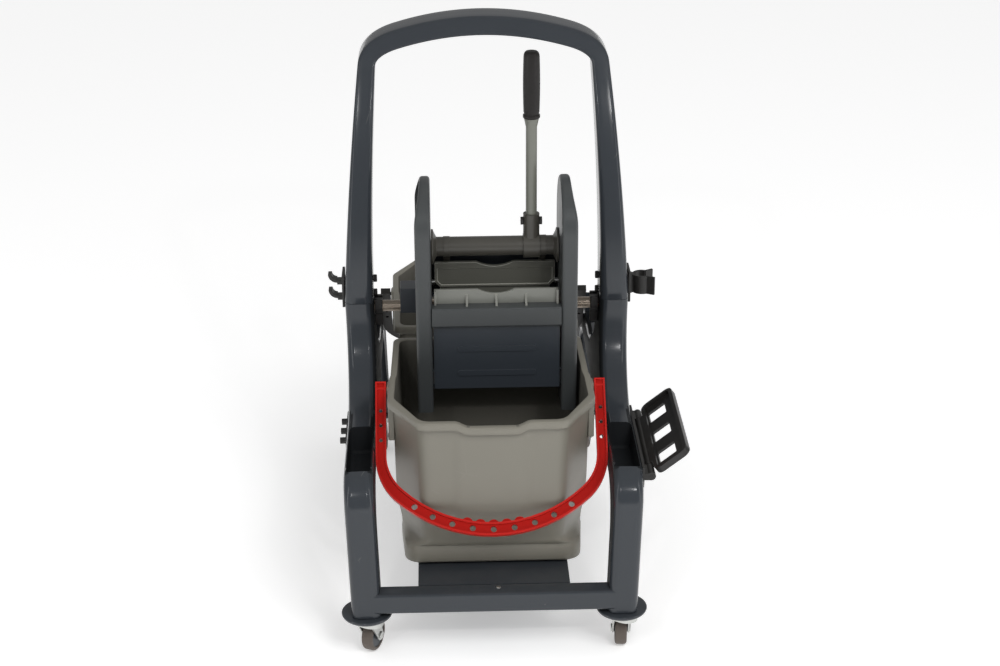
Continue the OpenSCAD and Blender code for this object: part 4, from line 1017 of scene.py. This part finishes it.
class TROLLEY_OT_press(bpy.types.Operator):
    """Press shaft, cranks, plate, lever and grip"""

    bl_idname = "trolley.press"
    bl_label = "Press and Lever"

    def execute(self, context):
        for node in ("press_shaft", "lever_socket"):
            soften(node, "shaft", 0.001)
        cranks = new_piece("press_crank_pair", crank_mesh(), "shaft", "lever", "dark_plastic", "press_cranks")
        rounded_edges(cranks, 0.0003, 1)
        # Painted highlight on the press plate's rounded edges
        soften("press_plate", "press", 0.0012, 2, edge="edge")
        soften("lever_arm", "lever", FINE_EDGE, 2)
        soften("lever_bolt", "black", FINE_EDGE, 2)
        soften("press_guide_pins", "zinc", FINE_EDGE, 2)
        new_piece("lever_grip_sleeve", grip_mesh(), "grip", "lever", "grip_rubber", "lever_grip")
        return {"FINISHED"}


def hood_mesh(caster):
    """Pressed hood over a caster's fork, an open cup whose rim slopes down to one side."""
    form = forms()
    x = -LEG_X if "left" in caster else LEG_X
    y = -AXLE_Y if "front" in caster else AXLE_Y
    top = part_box("corner_bumpers")[0].z - 0.0006
    shape = ((0.012, top, 0.0), (form.hood_r - 0.003, top, 0.0), (form.hood_r - 0.0008, top - 0.0012, 0.0),
             (form.hood_r, top - 0.0035, 0.0), (form.hood_r + 0.0006, top - 0.0095, 1.0),
             (form.hood_r - 0.0008, top - 0.0095, 1.0), (form.hood_r - 0.0016, top - 0.0040, 0.0),
             (0.012, top - 0.0030, 0.0))
    turns = [2 * math.pi * k / 56 for k in range(56)]
    rings = [[(x + r * math.cos(t), y + r * math.sin(t), z - slope * form.hood_drop * math.cos(t))
              for t in turns] for r, z, slope in shape]
    return smooth(loft(f"{caster}_hood", rings), 40)


class TROLLEY_OT_casters(bpy.types.Operator):
    """Four swivel casters"""

    bl_idname = "trolley.casters"
    bl_label = "Casters"

    def execute(self, context):
        soften("caster_stems", "zinc", THIN_EDGE, 2)
        for caster in CASTERS:
            soften(f"{caster}_fork", "zinc", FINE_EDGE, 2)
            soften(f"{caster}_axle", "zinc", THIN_EDGE, 2)
            soften(f"{caster}_hub", "hub", FINE_EDGE, 2)
            soften(f"{caster}_tyre", "tyre", FINE_EDGE, 2)
            new_piece(f"{caster}_hood", hood_mesh(caster), "zinc", f"{caster}_swivel", "steel")
        return {"FINISHED"}


class TROLLEY_OT_holders(bpy.types.Operator):
    """Tool hook, pegs, handle clamp and grid flap"""

    bl_idname = "trolley.holders"
    bl_label = "Holders"

    def execute(self, context):
        for node in ("tool_hook", "peg_rack", "mop_clamp_base", "mop_clamp_jaws", "flap_bracket",
                     "accessory_nuts"):
            soften(node, "black", forms().small_round)
        soften("flap_grid", "black", 2 * forms().small_round, 4)
        soften("flap_pin", "black", THIN_EDGE, 2)
        return {"FINISHED"}


def new_lamp(name, kind, power):
    data = bpy.data.lights.new(name, kind)
    data.energy = power
    return add_object(name, data)


def area_lamp(name, place, target, size, power, tall=None):
    """A round lamp, or an upright strip when it has a height."""
    lamp = new_lamp(name, "AREA", power)
    lamp.data.shape = "RECTANGLE" if tall else "DISK"
    lamp.data.size = size
    if tall:
        lamp.data.size_y = tall
    lamp.location = place
    lamp.rotation_mode = "QUATERNION"
    lamp.rotation_quaternion = (Vector(target) - Vector(place)).to_track_quat("-Z", "Y")
    return lamp


def light_stage():
    """Soft lamps that light without mirror images, strips and spots that make the highlights."""
    ceiling = new_lamp("Ceiling light", "SUN", 0.74)
    ceiling.data.angle = math.radians(100)
    ceiling.rotation_euler = (math.radians(14), math.radians(8), 0)
    key = area_lamp("Key lamp", (1.1, -2.8, 3.0), (0, 0, 0.35), 1.6, 53)
    fill = area_lamp("Fill lamp", (-2.0, -2.3, 2.4), (0, 0, 0.4), 1.8, 6.5)
    for lamp in (ceiling, key, fill):
        lamp.visible_glossy = False
    for side, x in (("Left", -1), ("Right", 1)):
        strip = area_lamp(f"{side} strip", (2.1 * x, -1.3, 1.2), (0, 0, 0.6), 0.35, 7, 2.2)
        strip.visible_diffuse = False
        area_lamp(f"{side} spot", (0.8 * x, -2.65, 2.25), (0.1 * x, -0.2, 0.3), 0.10, 5)


def lay_floor():
    """A pale floor under the wheels."""
    mesh = bpy.data.meshes.new("studio_floor")
    r = FLOOR_REACH
    mesh.from_pydata([(-r, -r, 0), (r, -r, 0), (r, r, 0), (-r, r, 0)], [], [(0, 1, 2, 3)])
    floor = add_object("studio_floor", mesh)
    floor.location.z = -0.0005
    material, tree, shader = start_material("Studio floor")
    feed_all(tree, shader, Base_Color=(0.94, 0.94, 0.94, 1), Roughness=0.9, Specular_IOR_Level=0.1,
             Emission_Color=(1, 1, 1, 1), Emission_Strength=0.36)
    mesh.materials.append(material)


def light_world(scene):
    """Even white light from all round."""
    scene.world = bpy.data.worlds.new("Studio world")
    scene.world.use_nodes = True
    tree = scene.world.node_tree
    feed_all(tree, tree.nodes["Background"], Color=(1, 1, 1, 1), Strength=0.33)


def place_camera(scene):
    """The camera, where the photograph was taken from."""
    data = bpy.data.cameras.new("Photo camera")
    data.sensor_width = 36.0
    data.lens = CAMERA_LENS
    data.clip_end = 60.0
    camera = add_object("Photo camera", data)
    camera.location = CAMERA_PLACE
    turn, tilt, roll = (math.radians(a) for a in CAMERA_ANGLES)
    camera.rotation_euler = (Matrix.Rotation(turn, 3, "Z") @ Matrix.Rotation(tilt, 3, "X")
                             @ Matrix.Rotation(roll, 3, "Z")).to_euler()
    scene.camera = camera


class TROLLEY_OT_stage(bpy.types.Operator):
    """Pale floor, soft lamps, world light and the camera"""

    bl_idname = "trolley.stage"
    bl_label = "Stage"

    def execute(self, context):
        context.scene.view_settings.view_transform = "Standard"
        lay_floor()
        light_world(context.scene)
        light_stage()
        place_camera(context.scene)
        return {"FINISHED"}


class TROLLEY_PT_panel(bpy.types.Panel):
    """Lists the trolley's sizes, finishes and making steps."""

    bl_label = "Trolley"
    bl_idname = "TROLLEY_PT_panel"
    bl_space_type = "VIEW_3D"
    bl_region_type = "UI"
    bl_category = "Trolley"

    def draw(self, context):
        for step in STEPS:
            self.layout.operator(step.bl_idname)
        for group in (context.scene.trolley_form, context.scene.trolley_finish):
            box = self.layout.box()
            for label in group.__annotations__:
                box.prop(group, label)


STEPS = (TROLLEY_OT_stage, TROLLEY_OT_frame, TROLLEY_OT_hoop, TROLLEY_OT_buckets, TROLLEY_OT_bails,
         TROLLEY_OT_wringer, TROLLEY_OT_press, TROLLEY_OT_casters, TROLLEY_OT_holders)
CLASSES = (TrolleyFinish, TrolleyForm, *STEPS, TROLLEY_PT_panel)


def register():
    for cls in CLASSES:
        bpy.utils.register_class(cls)
    bpy.types.Scene.trolley_finish = PointerProperty(type=TrolleyFinish)
    bpy.types.Scene.trolley_form = PointerProperty(type=TrolleyForm)


def unregister():
    del bpy.types.Scene.trolley_form
    del bpy.types.Scene.trolley_finish
    for cls in reversed(CLASSES):
        bpy.utils.unregister_class(cls)


def main():
    register()
    make_materials()
    for step in STEPS:
        family, name = step.bl_idname.split(".")
        getattr(getattr(bpy.ops, family), name)()


if __name__ == "__main__":
    main()
